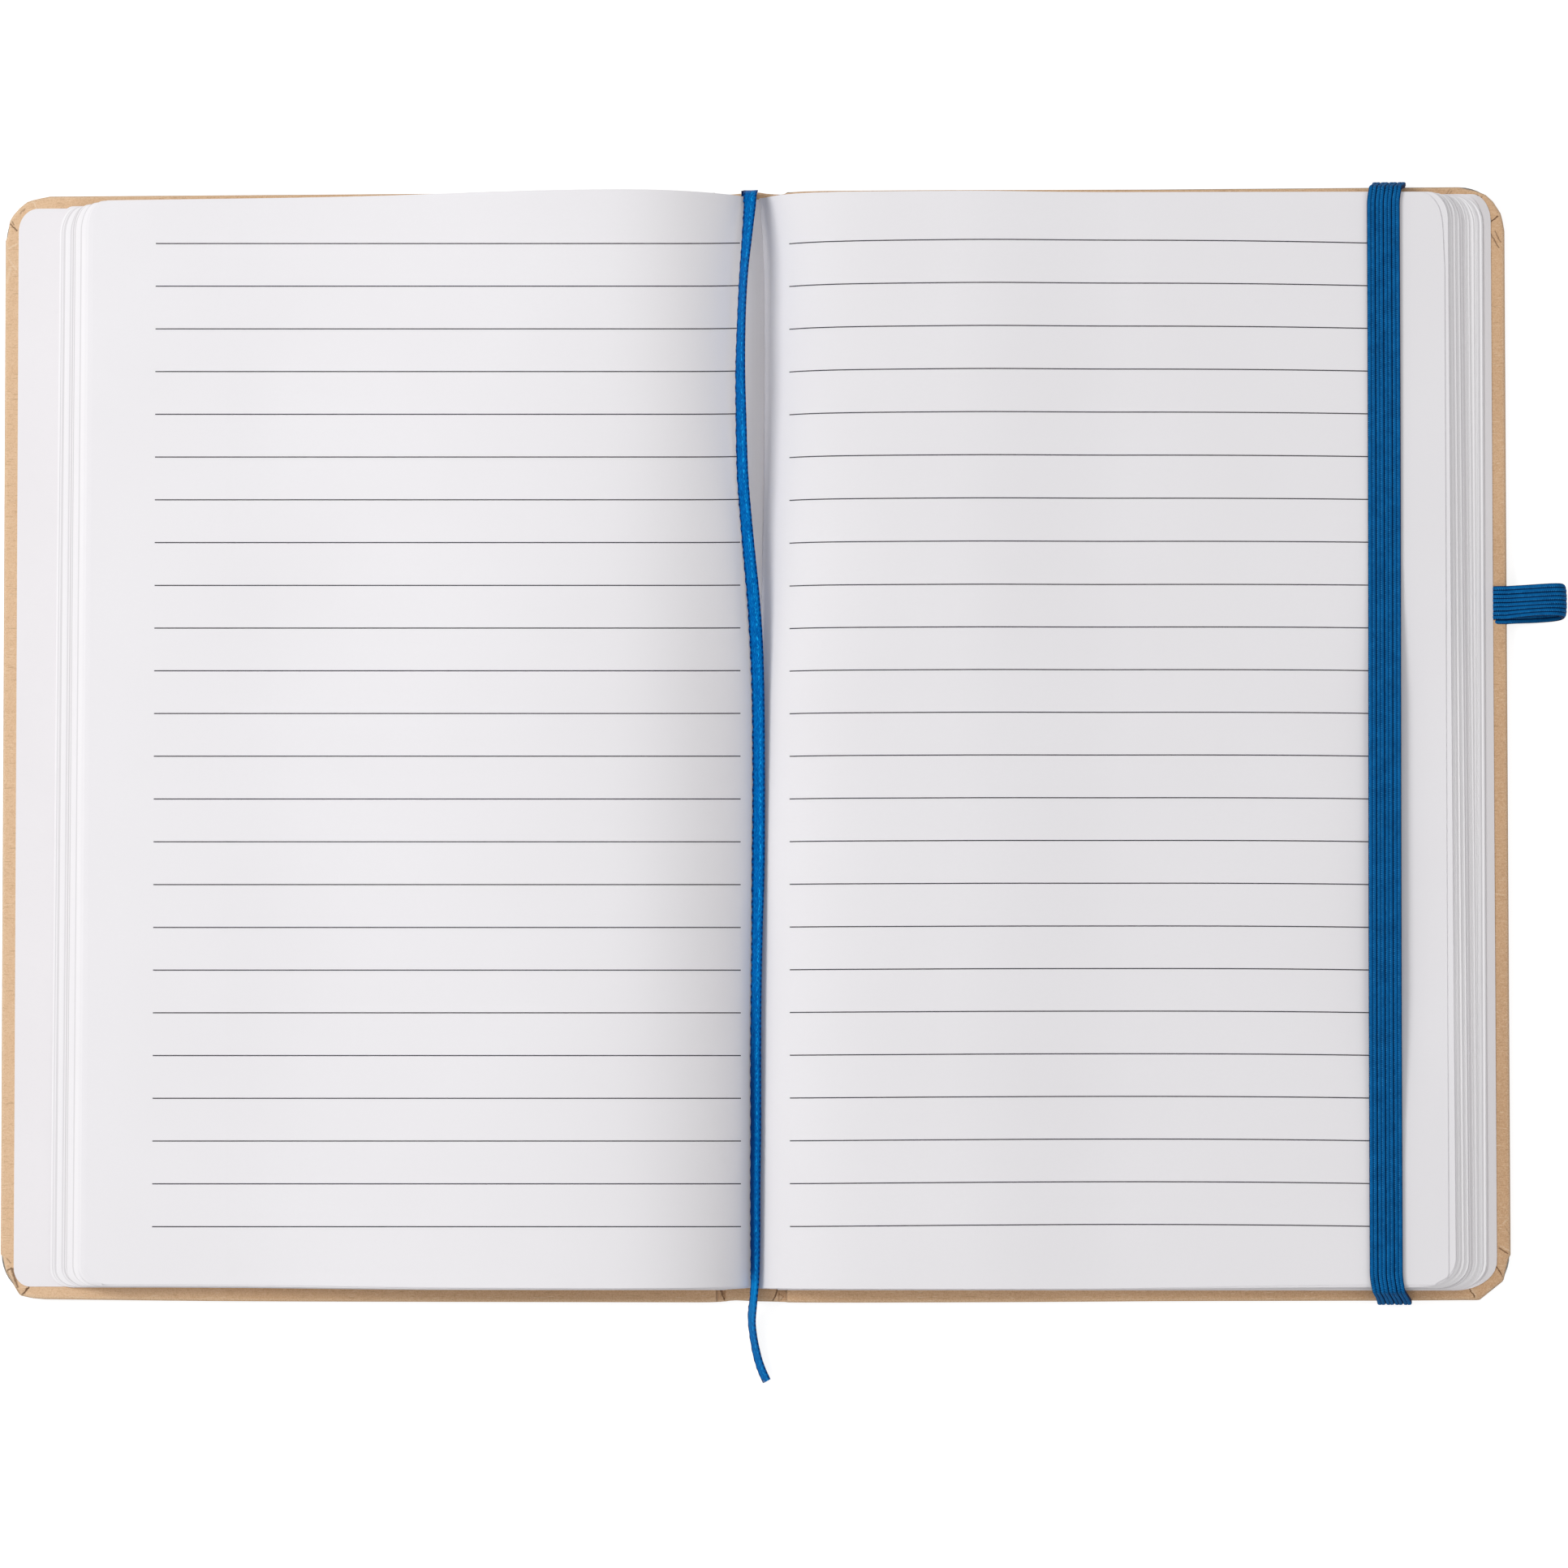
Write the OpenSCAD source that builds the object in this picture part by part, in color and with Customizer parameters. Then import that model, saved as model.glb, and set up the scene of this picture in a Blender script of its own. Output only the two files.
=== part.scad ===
// Hard-cover notebook with ruled pages, lying open at its middle.
// X runs right across the spread, Y runs to the head and Z runs up.
// The origin is the middle of the spine's outer face.

/* [Cover] */
// Height of each cover, head to tail
cover_h = 210; // [180:1:240]
// Width of each cover, from its hinge line to its fore-edge
cover_w = 136.65; // [120:0.05:155]
// Radius of the covers' outer corners
cover_r = 8.5; // [4:0.5:10]
// Thickness of the greyboard in each cover
board_t = 1.6; // [1.4:0.1:2.4]
// Thickness of the kraft wrap
kraft_t = 0.25; // [0.15:0.05:0.35]
// Width of the kraft that is turned in over the boards
turn_in = 15; // [11:1:17]

/* [Spine] */
// Width of the stiff strip in the spine
strip_w = 9.7; // [8:0.1:14]
// Thickness of the stiff strip in the spine
strip_t = 1; // [0.7:0.1:1.2]
// Gap between the strip and each board
hinge_gap = 2; // [1.8:0.1:3]
// Depth of the groove pressed into the wrap at each hinge
groove_d = 0.4; // [0.2:0.05:0.6]
// How much shorter the spine panel is than the covers, at each end
spine_inset = 0.4; // [0:0.1:0.8]
// Thickness of the gauze glued across the pages' folds
lining_t = 0.2; // [0.1:0.05:0.3]
// How far the gauze stops short of the pages, at each end
lining_inset = 5; // [3:1:8]

/* [Endpapers] */
// Thickness of the endpapers
endpaper_t = 0.15; // [0.1:0.05:0.25]
// Bare kraft beside the pastedown at the fore-edge
margin_fore = 2.6; // [1.5:0.1:3]
// Bare kraft above the pages at the head
margin_head = 1.4; // [1:0.05:3]
// Bare kraft below the pages at the tail
margin_tail = 2.15; // [1:0.05:3]

/* [Pages] */
// Thickness of each half of the pages where they lie flat
stack_t = 5.2; // [3:0.1:8]
// Radius of the pages' outer corners
page_r = 6; // [3:0.5:8]
// Steps in which the fore-edges fan out
fan_steps = 5; // [3:1:7]
// How far the gutter lies to the right of the spine's middle
gutter_x = 1.3; // [0:0.1:2]
// Height of the gutter's bottom above the lowest leaf
gutter_rise = 0.2; // [0.1:0.1:1]
// Width of cover left bare by the left half's lowest leaf
left_bare = 10.1; // [8:0.1:14]
// Width over which the left half's fore-edges fan out
left_fan = 7.3; // [4:0.1:9]
// How far the left page bulges above its flat part
left_bulge = 9.4; // [4:0.1:12]
// Distance from the gutter to the top of the left bulge
left_crest = 30; // [24:1:40]
// Distance from the gutter to where the left page lies flat
left_flat = 97; // [80:1:105]
// Width of cover left bare by the right half's lowest leaf
right_bare = 4.3; // [3:0.1:6]
// Width over which the right half's fore-edges fan out
right_fan = 7.5; // [4:0.1:9]
// How far the right page bulges above its flat part
right_bulge = 2.2; // [1:0.1:4]
// Distance from the gutter to the top of the right bulge
right_crest = 38; // [30:1:45]
// Distance from the gutter to where the right page lies flat
right_flat = 70; // [55:1:80]

/* [Ruling] */
// Distance from one ruled line to the next
line_pitch = 8.05; // [6:0.05:10]
// Width of each ruled line
line_w = 0.2; // [0.15:0.05:0.4]
// Thickness of the printed ink
line_t = 0.05; // [0.05:0.01:0.1]
// Distance from the pages' head to the first line
line_head = 9.5; // [6:0.05:14]
// Least distance from the last line to the pages' tail
line_tail = 11; // [8:0.5:14]
// Distance from the fore-edge of the top left leaf to its lines
line_outer = 12.3; // [8:0.1:16]
// Distance from the gutter to the left page's lines
line_left_start = 3.8; // [3:0.1:8]
// Distance from the gutter to the right page's lines
line_right_start = 6.4; // [5:0.1:10]

/* [Elastic band] */
// Width of the band
band_w = 6; // [4:0.1:10]
// Thickness of the band
band_t = 0.8; // [0.6:0.05:1.2]
// Distance from the back cover's fore-edge to the band's middle
band_inset = 23.3; // [20:0.1:26]
// Distance from the cover's head or tail to the slot for the band's end
slot_inset = 18; // [17.5:0.5:26]

/* [Pen loop] */
// Width of the loop's elastic
loop_w = 6.6; // [4:0.1:10]
// Thickness of the loop's elastic
loop_t = 0.7; // [0.5:0.05:0.85]
// How far the loop stands out past the cover's fore-edge
loop_reach = 11.1; // [10:0.1:15]
// Height of the open loop, outside
loop_h = 8; // [7.6:0.1:9]
// Height of the middle of the open loop above the neck
loop_lift = 2.2; // [2.2:0.1:3]
// Length of each end held under the pastedown
loop_hold = 8; // [5:0.5:10]
// Distance from the covers' middle to the loop's middle
loop_y = 26; // [0:0.1:60]

/* [Ribbon marker] */
// Width of the ribbon
ribbon_w = 2.8; // [2:0.1:4]
// Thickness of the ribbon
ribbon_t = 0.4; // [0.3:0.05:0.6]

/* [Hidden] */

kraft_color = [0.80, 0.66, 0.50];
board_color = [0.55, 0.53, 0.50];
paper_color = [0.95, 0.94, 0.94];
ink_color = [0.35, 0.35, 0.37];
elastic_color = [0.02, 0.28, 0.55];
ribbon_color = [0.02, 0.40, 0.75];
gauze_color = [0.90, 0.88, 0.82];

round_fn = 64;
over = 5;

hinge_x = strip_w / 2 + hinge_gap / 2;
board_x = strip_w / 2 + hinge_gap;
edge_x = hinge_x + cover_w;
board_top = kraft_t + board_t;
cover_top = board_top + kraft_t;
gap_top = groove_d + 2 * kraft_t;
strip_top = kraft_t + strip_t;
spine_top = strip_top + kraft_t;
spine_h = cover_h - 2 * spine_inset;
window_h = cover_h - 2 * turn_in;
window_x = edge_x - turn_in;

page_h = cover_h - margin_head - margin_tail;
page_mid = (margin_tail - margin_head) / 2;
flyleaf_z = cover_top + endpaper_t;
page_z = flyleaf_z + endpaper_t;
fold_z = spine_top + lining_t;
gutter_z = page_z + gutter_rise;
rim_z = page_z + stack_t;

left_low = edge_x - left_bare;
right_low = edge_x - right_bare;
dive_power = 2.6;
right_dive_power = 5;
dive_steps = 6;
slope_steps = 6;

band_x = edge_x - band_inset;
slot_y = cover_h / 2 - slot_inset;
line_gap = 0.15;
line_count = floor((page_h - line_head - line_tail) / line_pitch) + 1;

neck_z = cover_top - loop_t;
loop_pocket_z = cover_top - 2 * loop_t;
loop_steps = 20;
swell_angle = 120;
swell = sin(swell_angle) * pow(sin(swell_angle / 2), 2);

// Height of a page's top surface at a distance from the gutter
function page_curve(d, crest, flat, bulge, power) =
    d < crest ? gutter_z + (rim_z + bulge - gutter_z) * (1 - pow(1 - d / crest, power))
    : d < flat ? rim_z + bulge * (1 + cos(180 * (d - crest) / (flat - crest))) / 2
    : rim_z;

// Distances from the gutter at which a page's surface bends
function page_stations(crest, flat, end) = concat(
    [for (i = [0 : dive_steps - 1]) crest * pow(i / dive_steps, 1.5)],
    [for (i = [0 : slope_steps - 1]) crest + (flat - crest) * i / slope_steps],
    [flat, end]
);

left_end = left_low + gutter_x;
right_end = right_low - gutter_x;
left_surface = [
    for (d = page_stations(left_crest, left_flat, left_end))
        [d, page_curve(d, left_crest, left_flat, left_bulge, dive_power)]
];
right_surface = [
    for (d = page_stations(right_crest, right_flat, right_end))
        [d, page_curve(d, right_crest, right_flat, right_bulge, right_dive_power)]
];

// Top surface of one step of leaves, from the gutter out to the step's fore-edge
function step_points(surface, side, share, end) = [
    for (d = concat([for (p = surface) if (p[0] < end) p[0]], [end]))
        [gutter_x + side * d, page_z + (lookup(d, surface) - page_z) * share]
];

function reversed(list) = [for (i = [len(list) - 1 : -1 : 0]) list[i]];

// Points of an arc in the plane, from one angle to another
function arc(centre, r, a0, a1, steps = 6) = [
    for (i = [0 : steps])
        let (a = a0 + (a1 - a0) * i / steps)
            [centre[0] + r * cos(a), centre[1] + r * sin(a)]
];

module extrude_y(length, mid = 0) {
    translate([0, mid, 0])
        rotate([90, 0, 0])
            linear_extrude(length, center = true)
                children();
}

// Sheet from x0 to x1 with two round corners at x1
module rounded_sheet(x0, x1, h, r) {
    translate([x0, -h / 2])
        square([x1 - x0 - r, h]);
    translate([x0, -h / 2 + r])
        square([x1 - x0, h - 2 * r]);
    for (s = [-1, 1])
        translate([x1 - r, s * (h / 2 - r)])
            circle(r, $fn = round_fn);
}

module board_shape() {
    translate([0, 0, kraft_t])
        linear_extrude(board_t)
            rounded_sheet(board_x, edge_x - kraft_t, cover_h - 2 * kraft_t, cover_r - kraft_t);
}

// Slots for the band's ends and the place of the pen loop's ends
module elastic_cuts() {
    for (s = [-1, 1])
        translate([band_x - band_w / 2, s * (slot_y - band_t / 2) - band_t / 2, -over])
            cube([band_w, band_t, board_top + over]);
    translate([edge_x - loop_hold, loop_y - loop_w / 2, loop_pocket_z])
        cube([loop_hold + over, loop_w, over]);
}

module front_board() {
    color(board_color)
        mirror([1, 0, 0])
            board_shape();
}

module back_board() {
    color(board_color)
        difference() {
            board_shape();
            elastic_cuts();
        }
}

module spine_strip() {
    length = spine_h - 2 * kraft_t;
    color(board_color)
        translate([-strip_w / 2, -length / 2, kraft_t])
            cube([strip_w, length, strip_t]);
}

// Kraft over one cover: outer sheet, wrapped edges and turn-ins
module wrap_panel() {
    filled = [
        [hinge_x, groove_d], [board_x - groove_d, groove_d], [board_x, 0], [edge_x, 0],
        [edge_x, cover_top], [board_x - kraft_t, cover_top], [board_x - kraft_t, gap_top],
        [hinge_x, gap_top]
    ];
    inside = [
        [hinge_x - over, groove_d + kraft_t], [board_x - groove_d, groove_d + kraft_t],
        [board_x, kraft_t], [board_x, board_top], [window_x, board_top],
        [window_x, cover_top + over], [hinge_x - over, cover_top + over]
    ];
    difference() {
        intersection() {
            extrude_y(cover_h)
                polygon(filled);
            linear_extrude(cover_top)
                rounded_sheet(hinge_x, edge_x, cover_h, cover_r);
        }
        board_shape();
        extrude_y(window_h)
            polygon(inside);
    }
}

// Kraft over the spine strip, with half of each hinge groove
module wrap_spine() {
    half = strip_w / 2;
    right_filled = [
        [half, 0], [half + groove_d, groove_d], [hinge_x, groove_d],
        [hinge_x, gap_top], [half + kraft_t, gap_top], [half + kraft_t, spine_top]
    ];
    right_inside = [
        [half, strip_top], [half, kraft_t], [half + groove_d, groove_d + kraft_t],
        [hinge_x + over, groove_d + kraft_t], [hinge_x + over, spine_top + over]
    ];
    difference() {
        extrude_y(spine_h)
            polygon(concat(right_filled, [for (p = reversed(right_filled)) [-p[0], p[1]]]));
        spine_strip();
        extrude_y(window_h)
            polygon(concat(right_inside, [for (p = reversed(right_inside)) [-p[0], p[1]]]));
    }
}

module front_wrap() {
    color(kraft_color)
        mirror([1, 0, 0])
            wrap_panel();
}

module back_wrap() {
    color(kraft_color)
        difference() {
            union() {
                wrap_panel();
                wrap_spine();
            }
            elastic_cuts();
        }
}

module spine_lining() {
    length = page_h - 2 * lining_inset;
    color(gauze_color)
        translate([-strip_w / 2, page_mid - length / 2, spine_top])
            cube([strip_w, length, lining_t]);
}

// Endpaper glued to a board, pressed flush between the turn-ins
module pastedown_shape(x0) {
    translate([0, page_mid, cover_top])
        linear_extrude(endpaper_t)
            rounded_sheet(x0, edge_x - margin_fore, page_h, page_r);
    translate([board_x, -window_h / 2, board_top])
        cube([window_x - board_x, window_h, kraft_t]);
}

module flyleaf_shape(x1) {
    translate([0, page_mid, flyleaf_z])
        linear_extrude(endpaper_t)
            rounded_sheet(strip_w / 2, x1, page_h, page_r);
}

module front_pastedown() {
    color(paper_color)
        mirror([1, 0, 0])
            pastedown_shape(board_x);
}

module front_flyleaf() {
    color(paper_color)
        mirror([1, 0, 0])
            flyleaf_shape(left_low);
}

module back_endpaper() {
    color(paper_color) {
        pastedown_shape(strip_w / 2);
        flyleaf_shape(right_low);
    }
}

// One step of leaves on both sides of the gutter, down to the folds at the spine
module page_step(k) {
    share = (k + 1) / fan_steps;
    left_x = left_low - left_fan * k / (fan_steps - 1);
    right_x = right_low - right_fan * k / (fan_steps - 1);
    left_points = step_points(left_surface, -1, share, left_x + gutter_x);
    right_points = step_points(right_surface, 1, share, right_x - gutter_x);
    spine_points = [
        [right_x, page_z], [strip_w / 2, page_z], [strip_w / 2, fold_z],
        [-strip_w / 2, fold_z], [-strip_w / 2, page_z], [-left_x, page_z]
    ];
    left_outward_in = [for (i = [len(left_points) - 1 : -1 : 1]) left_points[i]];
    intersection() {
        extrude_y(page_h, page_mid)
            polygon(concat(left_outward_in, right_points, spine_points));
        translate([0, page_mid, 0])
            linear_extrude(rim_z + left_bulge + over) {
                rounded_sheet(0, right_x, page_h, page_r);
                mirror([1, 0, 0])
                    rounded_sheet(0, left_x, page_h, page_r);
            }
    }
}

module page_block() {
    color(paper_color)
        for (k = [0 : fan_steps - 1])
            page_step(k);
}

// Ruled lines that follow a page's surface between two distances from the gutter
module ruling(surface, side, d0, d1) {
    stations = concat([d0], [for (p = surface) if (p[0] > d0 && p[0] < d1) p[0]], [d1]);
    below = [for (d = stations) [gutter_x + side * d, lookup(d, surface)]];
    above = [for (p = reversed(below)) [p[0], p[1] + line_t]];
    for (i = [0 : line_count - 1])
        extrude_y(line_w, page_mid + page_h / 2 - line_head - i * line_pitch)
            polygon(concat(below, above));
}

module left_ruling() {
    color(ink_color)
        ruling(left_surface, -1, line_left_start, left_end - left_fan - line_outer);
}

module right_ruling() {
    color(ink_color)
        ruling(right_surface, 1, line_right_start,
               band_x - band_w / 2 - line_gap - gutter_x);
}

// One half of the band's section, from the middle of the page round to the slot.
// With off = 0 it is the inner line, and with off = band_t the outer line.
function band_line(page_edge, off) =
    let (
        edge = cover_h / 2,
        slope = atan2(edge - page_edge, rim_z - cover_top)
    )
    off > 0
    ? concat(
        arc([page_edge, rim_z], off, 90, slope),
        arc([edge, cover_top], off, slope, 0, 2),
        arc([edge, 0], off, 0, -90),
        arc([slot_y, 0], off, -90, -180),
        [[slot_y - off, board_top]]
    )
    : [[page_edge, rim_z], [edge, cover_top], [edge, 0], [slot_y, 0], [slot_y, board_top]];

function flipped(list) = [for (p = list) [-p[0], p[1]]];

module elastic_band() {
    head = page_mid + page_h / 2;
    tail = page_h / 2 - page_mid;
    outline = concat(
        reversed(band_line(head, band_t)),
        flipped(band_line(tail, band_t)),
        reversed(flipped(band_line(tail, 0))),
        band_line(head, 0)
    );
    color(elastic_color)
        translate([band_x, 0, 0])
            rotate([90, 0, 90])
                linear_extrude(band_w, center = true)
                    polygon(outline);
}

// Middle line of the pen loop's elastic: side 1 is the upper run, side -1 the lower
function loop_mid(a, side) = [
    edge_x + (loop_reach - loop_t / 2) * (1 - cos(a)) / 2,
    neck_z + loop_lift / pow(sin(swell_angle / 2), 2) * (1 - cos(a)) / 2
        + side * (loop_t / 2 * pow(cos(a / 2), 2)
                  + (loop_h - loop_t) / 2 * sin(a) * pow(sin(a / 2), 2) / swell)
];

// Point beside the middle line, off to its outside
function loop_side(a, side, off) =
    let (
        p = loop_mid(a, side),
        q = loop_mid(a + 0.5, side) - loop_mid(a - 0.5, side),
        n = a < 1 ? [0, side] : side * [-q[1], q[0]] / norm(q)
    )
    p + off * n;

module pen_loop() {
    angles = [for (i = [0 : loop_steps]) 180 * i / loop_steps];
    hold_x = edge_x - loop_hold;
    outside = concat(
        [[hold_x, cover_top]],
        [for (a = angles) loop_side(a, 1, loop_t / 2)],
        [for (a = reversed(angles)) if (a < 179) loop_side(a, -1, loop_t / 2)],
        [[hold_x, loop_pocket_z]]
    );
    inside = concat(
        [for (a = angles) if (a > 1) loop_side(a, 1, -loop_t / 2)],
        [for (a = reversed(angles)) if (a < 179 && a > 1) loop_side(a, -1, -loop_t / 2)]
    );
    color(elastic_color)
        extrude_y(loop_w, loop_y)
            difference() {
                polygon(outside);
                polygon(inside);
            }
}

// Height of the pages' top surface
function page_top(x) =
    x < gutter_x ? lookup(gutter_x - x, left_surface) : lookup(x - gutter_x, right_surface);

// Height of the ribbon's middle where its underside just rests on the pages
function ribbon_rest(x, roll) = max([
    for (share = [-1 : 0.5 : 1])
        let (u = share * ribbon_w / 2)
            page_top(x + u * cos(roll) - ribbon_t / 2 * sin(roll))
                + u * sin(roll) + ribbon_t / 2 * cos(roll)
]);

// Start of the ribbon's route: right of the gutter, past the pages' head, above the
// pages' folds, and the angle that its face is rolled to the left
ribbon_start = [
    [-1.1, 0, 0.5, 0], [-1.1, 0.7, 0.5, 0], [-1.1, 1.1, 1.2, 0], [-1.1, 1.1, 2.2, 0]
];
// Its run along the pages: right of the gutter, share of the way from the pages'
// middle to their head or tail, height above where it would rest, and roll
ribbon_run = [
    [-1.1, 1.006, -0.2, 10], [-1.2, 0.995, 0.5, 20], [-1.2, 0.975, 0.8, 30],
    [-1.6, 0.92, 1, 42], [-2.2, 0.85, 0.8, 52], [-2.6, 0.77, 0.6, 53],
    [-2.8, 0.675, 0.8, 46], [-2.7, 0.59, 0.6, 40], [-2.5, 0.49, 0.4, 36],
    [-2, 0.415, 0.4, 34], [-1.3, 0.335, 0.4, 30], [-0.6, 0.26, 0.6, 26],
    [-0.1, 0.18, 0.5, 23], [0.2, 0.09, 0.2, 28], [0.3, 0, 0.2, 30],
    [0.3, -0.12, 0.2, 30], [0.2, -0.235, 0.2, 28], [0, -0.35, 0.3, 38],
    [-0.2, -0.47, 0.3, 45], [-0.3, -0.585, 0.4, 45], [-0.3, -0.7, 0.4, 46],
    [-0.4, -0.82, 0.5, 50], [-0.4, -0.915, 0.5, 51], [-0.5, -0.985, 0.5, 55],
    [-0.8, -1.023, 0.1, 58]
];
// Its free end: right of the gutter, past the pages' tail, height, and roll
ribbon_end = [
    [-1.2, 5.9, 2.3, 56], [-0.9, 9.4, 1.2, 56], [-0.2, 12.9, 0.8, 54],
    [0.6, 15.4, 0.6, 52], [1.6, 17.6, 0.5, 52]
];
ribbon_route = concat(
    [for (p = ribbon_start) [gutter_x + p[0], page_mid + page_h / 2 + p[1], fold_z + p[2], p[3]]],
    [for (p = ribbon_run)
        let (x = gutter_x + p[0])
            [x, page_mid + p[1] * page_h / 2, ribbon_rest(x, p[3]) + p[2], p[3]]],
    [for (p = ribbon_end) [gutter_x + p[0], page_mid - page_h / 2 - p[1], p[2], p[3]]]
);

function unit(v) = v / norm(v);

// Corner points of the ribbon's section at one point of its route
function ribbon_ring(i) =
    let (
        last = len(ribbon_route) - 1,
        p = ribbon_route[i],
        a = ribbon_route[max(i - 1, 0)],
        b = ribbon_route[min(i + 1, last)],
        t = unit([b[0] - a[0], b[1] - a[1], b[2] - a[2]]),
        across = unit([1, 0, 0] - t[0] * t),
        face = cross(t, across),
        w = across * cos(-p[3]) + face * sin(-p[3]),
        n = face * cos(-p[3]) - across * sin(-p[3]),
        hw = ribbon_w / 2,
        ht = ribbon_t / 2
    )
    [
        for (c = [[1, 0.4], [0.8, 1], [-0.8, 1], [-1, 0.4],
                  [-1, -0.4], [-0.8, -1], [0.8, -1], [1, -0.4]])
            [p[0], p[1], p[2]] + c[0] * hw * w + c[1] * ht * n
    ];

module ribbon_marker() {
    sides = 8;
    rings = len(ribbon_route);
    points = [for (i = [0 : rings - 1]) each ribbon_ring(i)];
    walls = [
        for (i = [0 : rings - 2], j = [0 : sides - 1])
            let (a = i * sides + j, b = i * sides + (j + 1) % sides)
                each [[a, b, b + sides], [a, b + sides, a + sides]]
    ];
    start = [for (j = [sides - 1 : -1 : 0]) j];
    end = [for (j = [0 : sides - 1]) (rings - 1) * sides + j];
    color(ribbon_color)
        polyhedron(points, concat([start], walls, [end]));
}

front_board();
back_board();
spine_strip();
front_wrap();
back_wrap();
spine_lining();
front_pastedown();
front_flyleaf();
back_endpaper();
page_block();
left_ruling();
right_ruling();
elastic_band();
pen_loop();
ribbon_marker();
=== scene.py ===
"""Looks for the open hard-cover notebook: kraft cover, ruled leaves, blue elastic and ribbon."""

import math

import bmesh
import bpy
import numpy as np
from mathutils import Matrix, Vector


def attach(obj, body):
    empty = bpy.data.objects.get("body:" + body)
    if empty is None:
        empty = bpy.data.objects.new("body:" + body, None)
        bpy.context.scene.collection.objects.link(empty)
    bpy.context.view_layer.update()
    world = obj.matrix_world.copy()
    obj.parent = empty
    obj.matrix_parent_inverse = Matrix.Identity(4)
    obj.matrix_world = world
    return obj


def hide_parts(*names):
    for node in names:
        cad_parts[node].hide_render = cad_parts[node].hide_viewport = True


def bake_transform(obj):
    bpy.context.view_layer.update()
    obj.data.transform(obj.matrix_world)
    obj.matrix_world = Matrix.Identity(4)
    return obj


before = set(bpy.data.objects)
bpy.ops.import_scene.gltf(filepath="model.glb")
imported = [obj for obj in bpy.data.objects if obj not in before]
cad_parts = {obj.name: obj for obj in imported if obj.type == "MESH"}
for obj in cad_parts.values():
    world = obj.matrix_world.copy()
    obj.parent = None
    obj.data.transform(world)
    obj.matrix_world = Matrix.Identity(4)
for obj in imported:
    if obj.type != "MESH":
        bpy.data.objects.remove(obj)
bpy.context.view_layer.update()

# ---------------------------------------------------------------- named values, in mm

COVER_H = 210.0
COVER_R = 8.5
EDGE_X = 142.5
KRAFT_T = 0.25
TURN_IN = 15.0
COVER_TOP = 2.1
SPINE_TOP = 1.5
GAP_TOP = 0.9
GROOVE_D = 0.4
ENDPAPER_T = 0.15
FLYLEAF_Z = 2.25
PAGE_Z = 2.4
FOLD_Z = 1.7
GUTTER_X = 1.3
GUTTER_Z = 2.6
RIM_Z = 7.6
PAGE_HEAD = 103.6
PAGE_TAIL = -102.85
PAGE_MID = 0.375
PAGE_H = 206.45
LEAVES = 48
SECTION_LEAVES = 8
LEAF_T = 0.085
# Distance of the leaves' fore-edges from the spine's middle, by leaf from the lowest up
LEFT_ENDS = [(0, 132.4), (2, 132.2), (9, 131.0), (10, 130.15), (19, 129.0), (20, 128.5), (30, 127.4),
             (31, 126.9), (43, 126.0), (44, 125.3), (47, 125.1)]
RIGHT_ENDS = [(0, 138.2), (1, 137.95), (9, 136.35), (10, 136.15), (27, 133.65), (28, 133.4), (42, 132.0),
              (43, 131.8), (45, 131.7), (46, 130.75), (47, 130.7)]
# How far the fore-edges lean to the right for each mm towards the head
LEFT_LEAN = [(0, 0.0047), (47, 0.003)]
RIGHT_LEAN = [(0, 0.0018), (9, 0.0010), (10, -0.0019), (27, -0.0035), (39, -0.0022), (45, -0.0019),
              (46, 0.0014), (47, 0.0014)]
# Each half of the open pages: its curve, its leaves' ends and corners, and the meshes' rows and steps
LEFT = dict(side=-1, crest=30.0, flat=97.0, bulge=9.4, power=2.6, spread=6.15,
            ends=LEFT_ENDS, lean=LEFT_LEAN, head_step=0.65, tail_step=0.4, tone=0.65,
            head_r=[(2.8, 3.3), (5.0, 5.6)], tail_r=[(4.0, 5.2), (3.2, 3.9)], rows=5, dive_steps=13)
RIGHT = dict(side=1, crest=38.0, flat=70.0, bulge=2.2, power=5.0, spread=3.55,
             ends=RIGHT_ENDS, lean=RIGHT_LEAN, head_step=0.5, tail_step=0.8, tone=1.0,
             head_r=[(3.3, 4.0), (4.8, 5.6)], tail_r=[(5.8, 7.4), (4.7, 5.4)], rows=10, dive_steps=10)
# The right half's upper leaves: distance from the tail or head, and how far the fore-edge is cut back
TAIL_CUT = [(0, 2.5), (0.3, 2.3), (0.85, 1.3), (1.5, 0.1), (2.2, 0)]
HEAD_CUT = [(0, 4.0), (0.62, 2.75), (1.6, 1.75), (2.8, 1.05), (4.2, 0.6), (7, 0.25), (12, 0)]
LINE_PITCH = 8.05
LINE_FIRST = PAGE_HEAD - 9.5
LINES = 24
LINE_W = 0.2
LINE_RISE = 0.038
LINE_SINK = 0.03
BAND_X = 119.2
BAND_W = 6.0
BAND_T = 0.8
# How far from the gutter the leaves begin to dip for the band
BAND_DIP_D = 112.0
LOOP_W = 6.4
LOOP_T = 0.7
LOOP_Y = 26.0
LOOP_REACH = 11.1
RIBBON_W = 2.8
RIBBON_T = 0.4
EYE = (65.4, -68.5, 1249.5)


def smooth(a, b, x):
    t = np.clip((np.asarray(x, float) - a) / (b - a), 0, 1)
    return t * t * (3 - 2 * t)


def table(pairs, at):
    """The value that pairs of place and value give at a place, in straight lines between them."""
    return np.interp(at, *zip(*pairs))


# ---------------------------------------------------------------- camera

scene = bpy.context.scene
scene.view_settings.view_transform = "Standard"


def add_object(name, data):
    obj = bpy.data.objects.new(name, data)
    scene.collection.objects.link(obj)
    return obj


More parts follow.
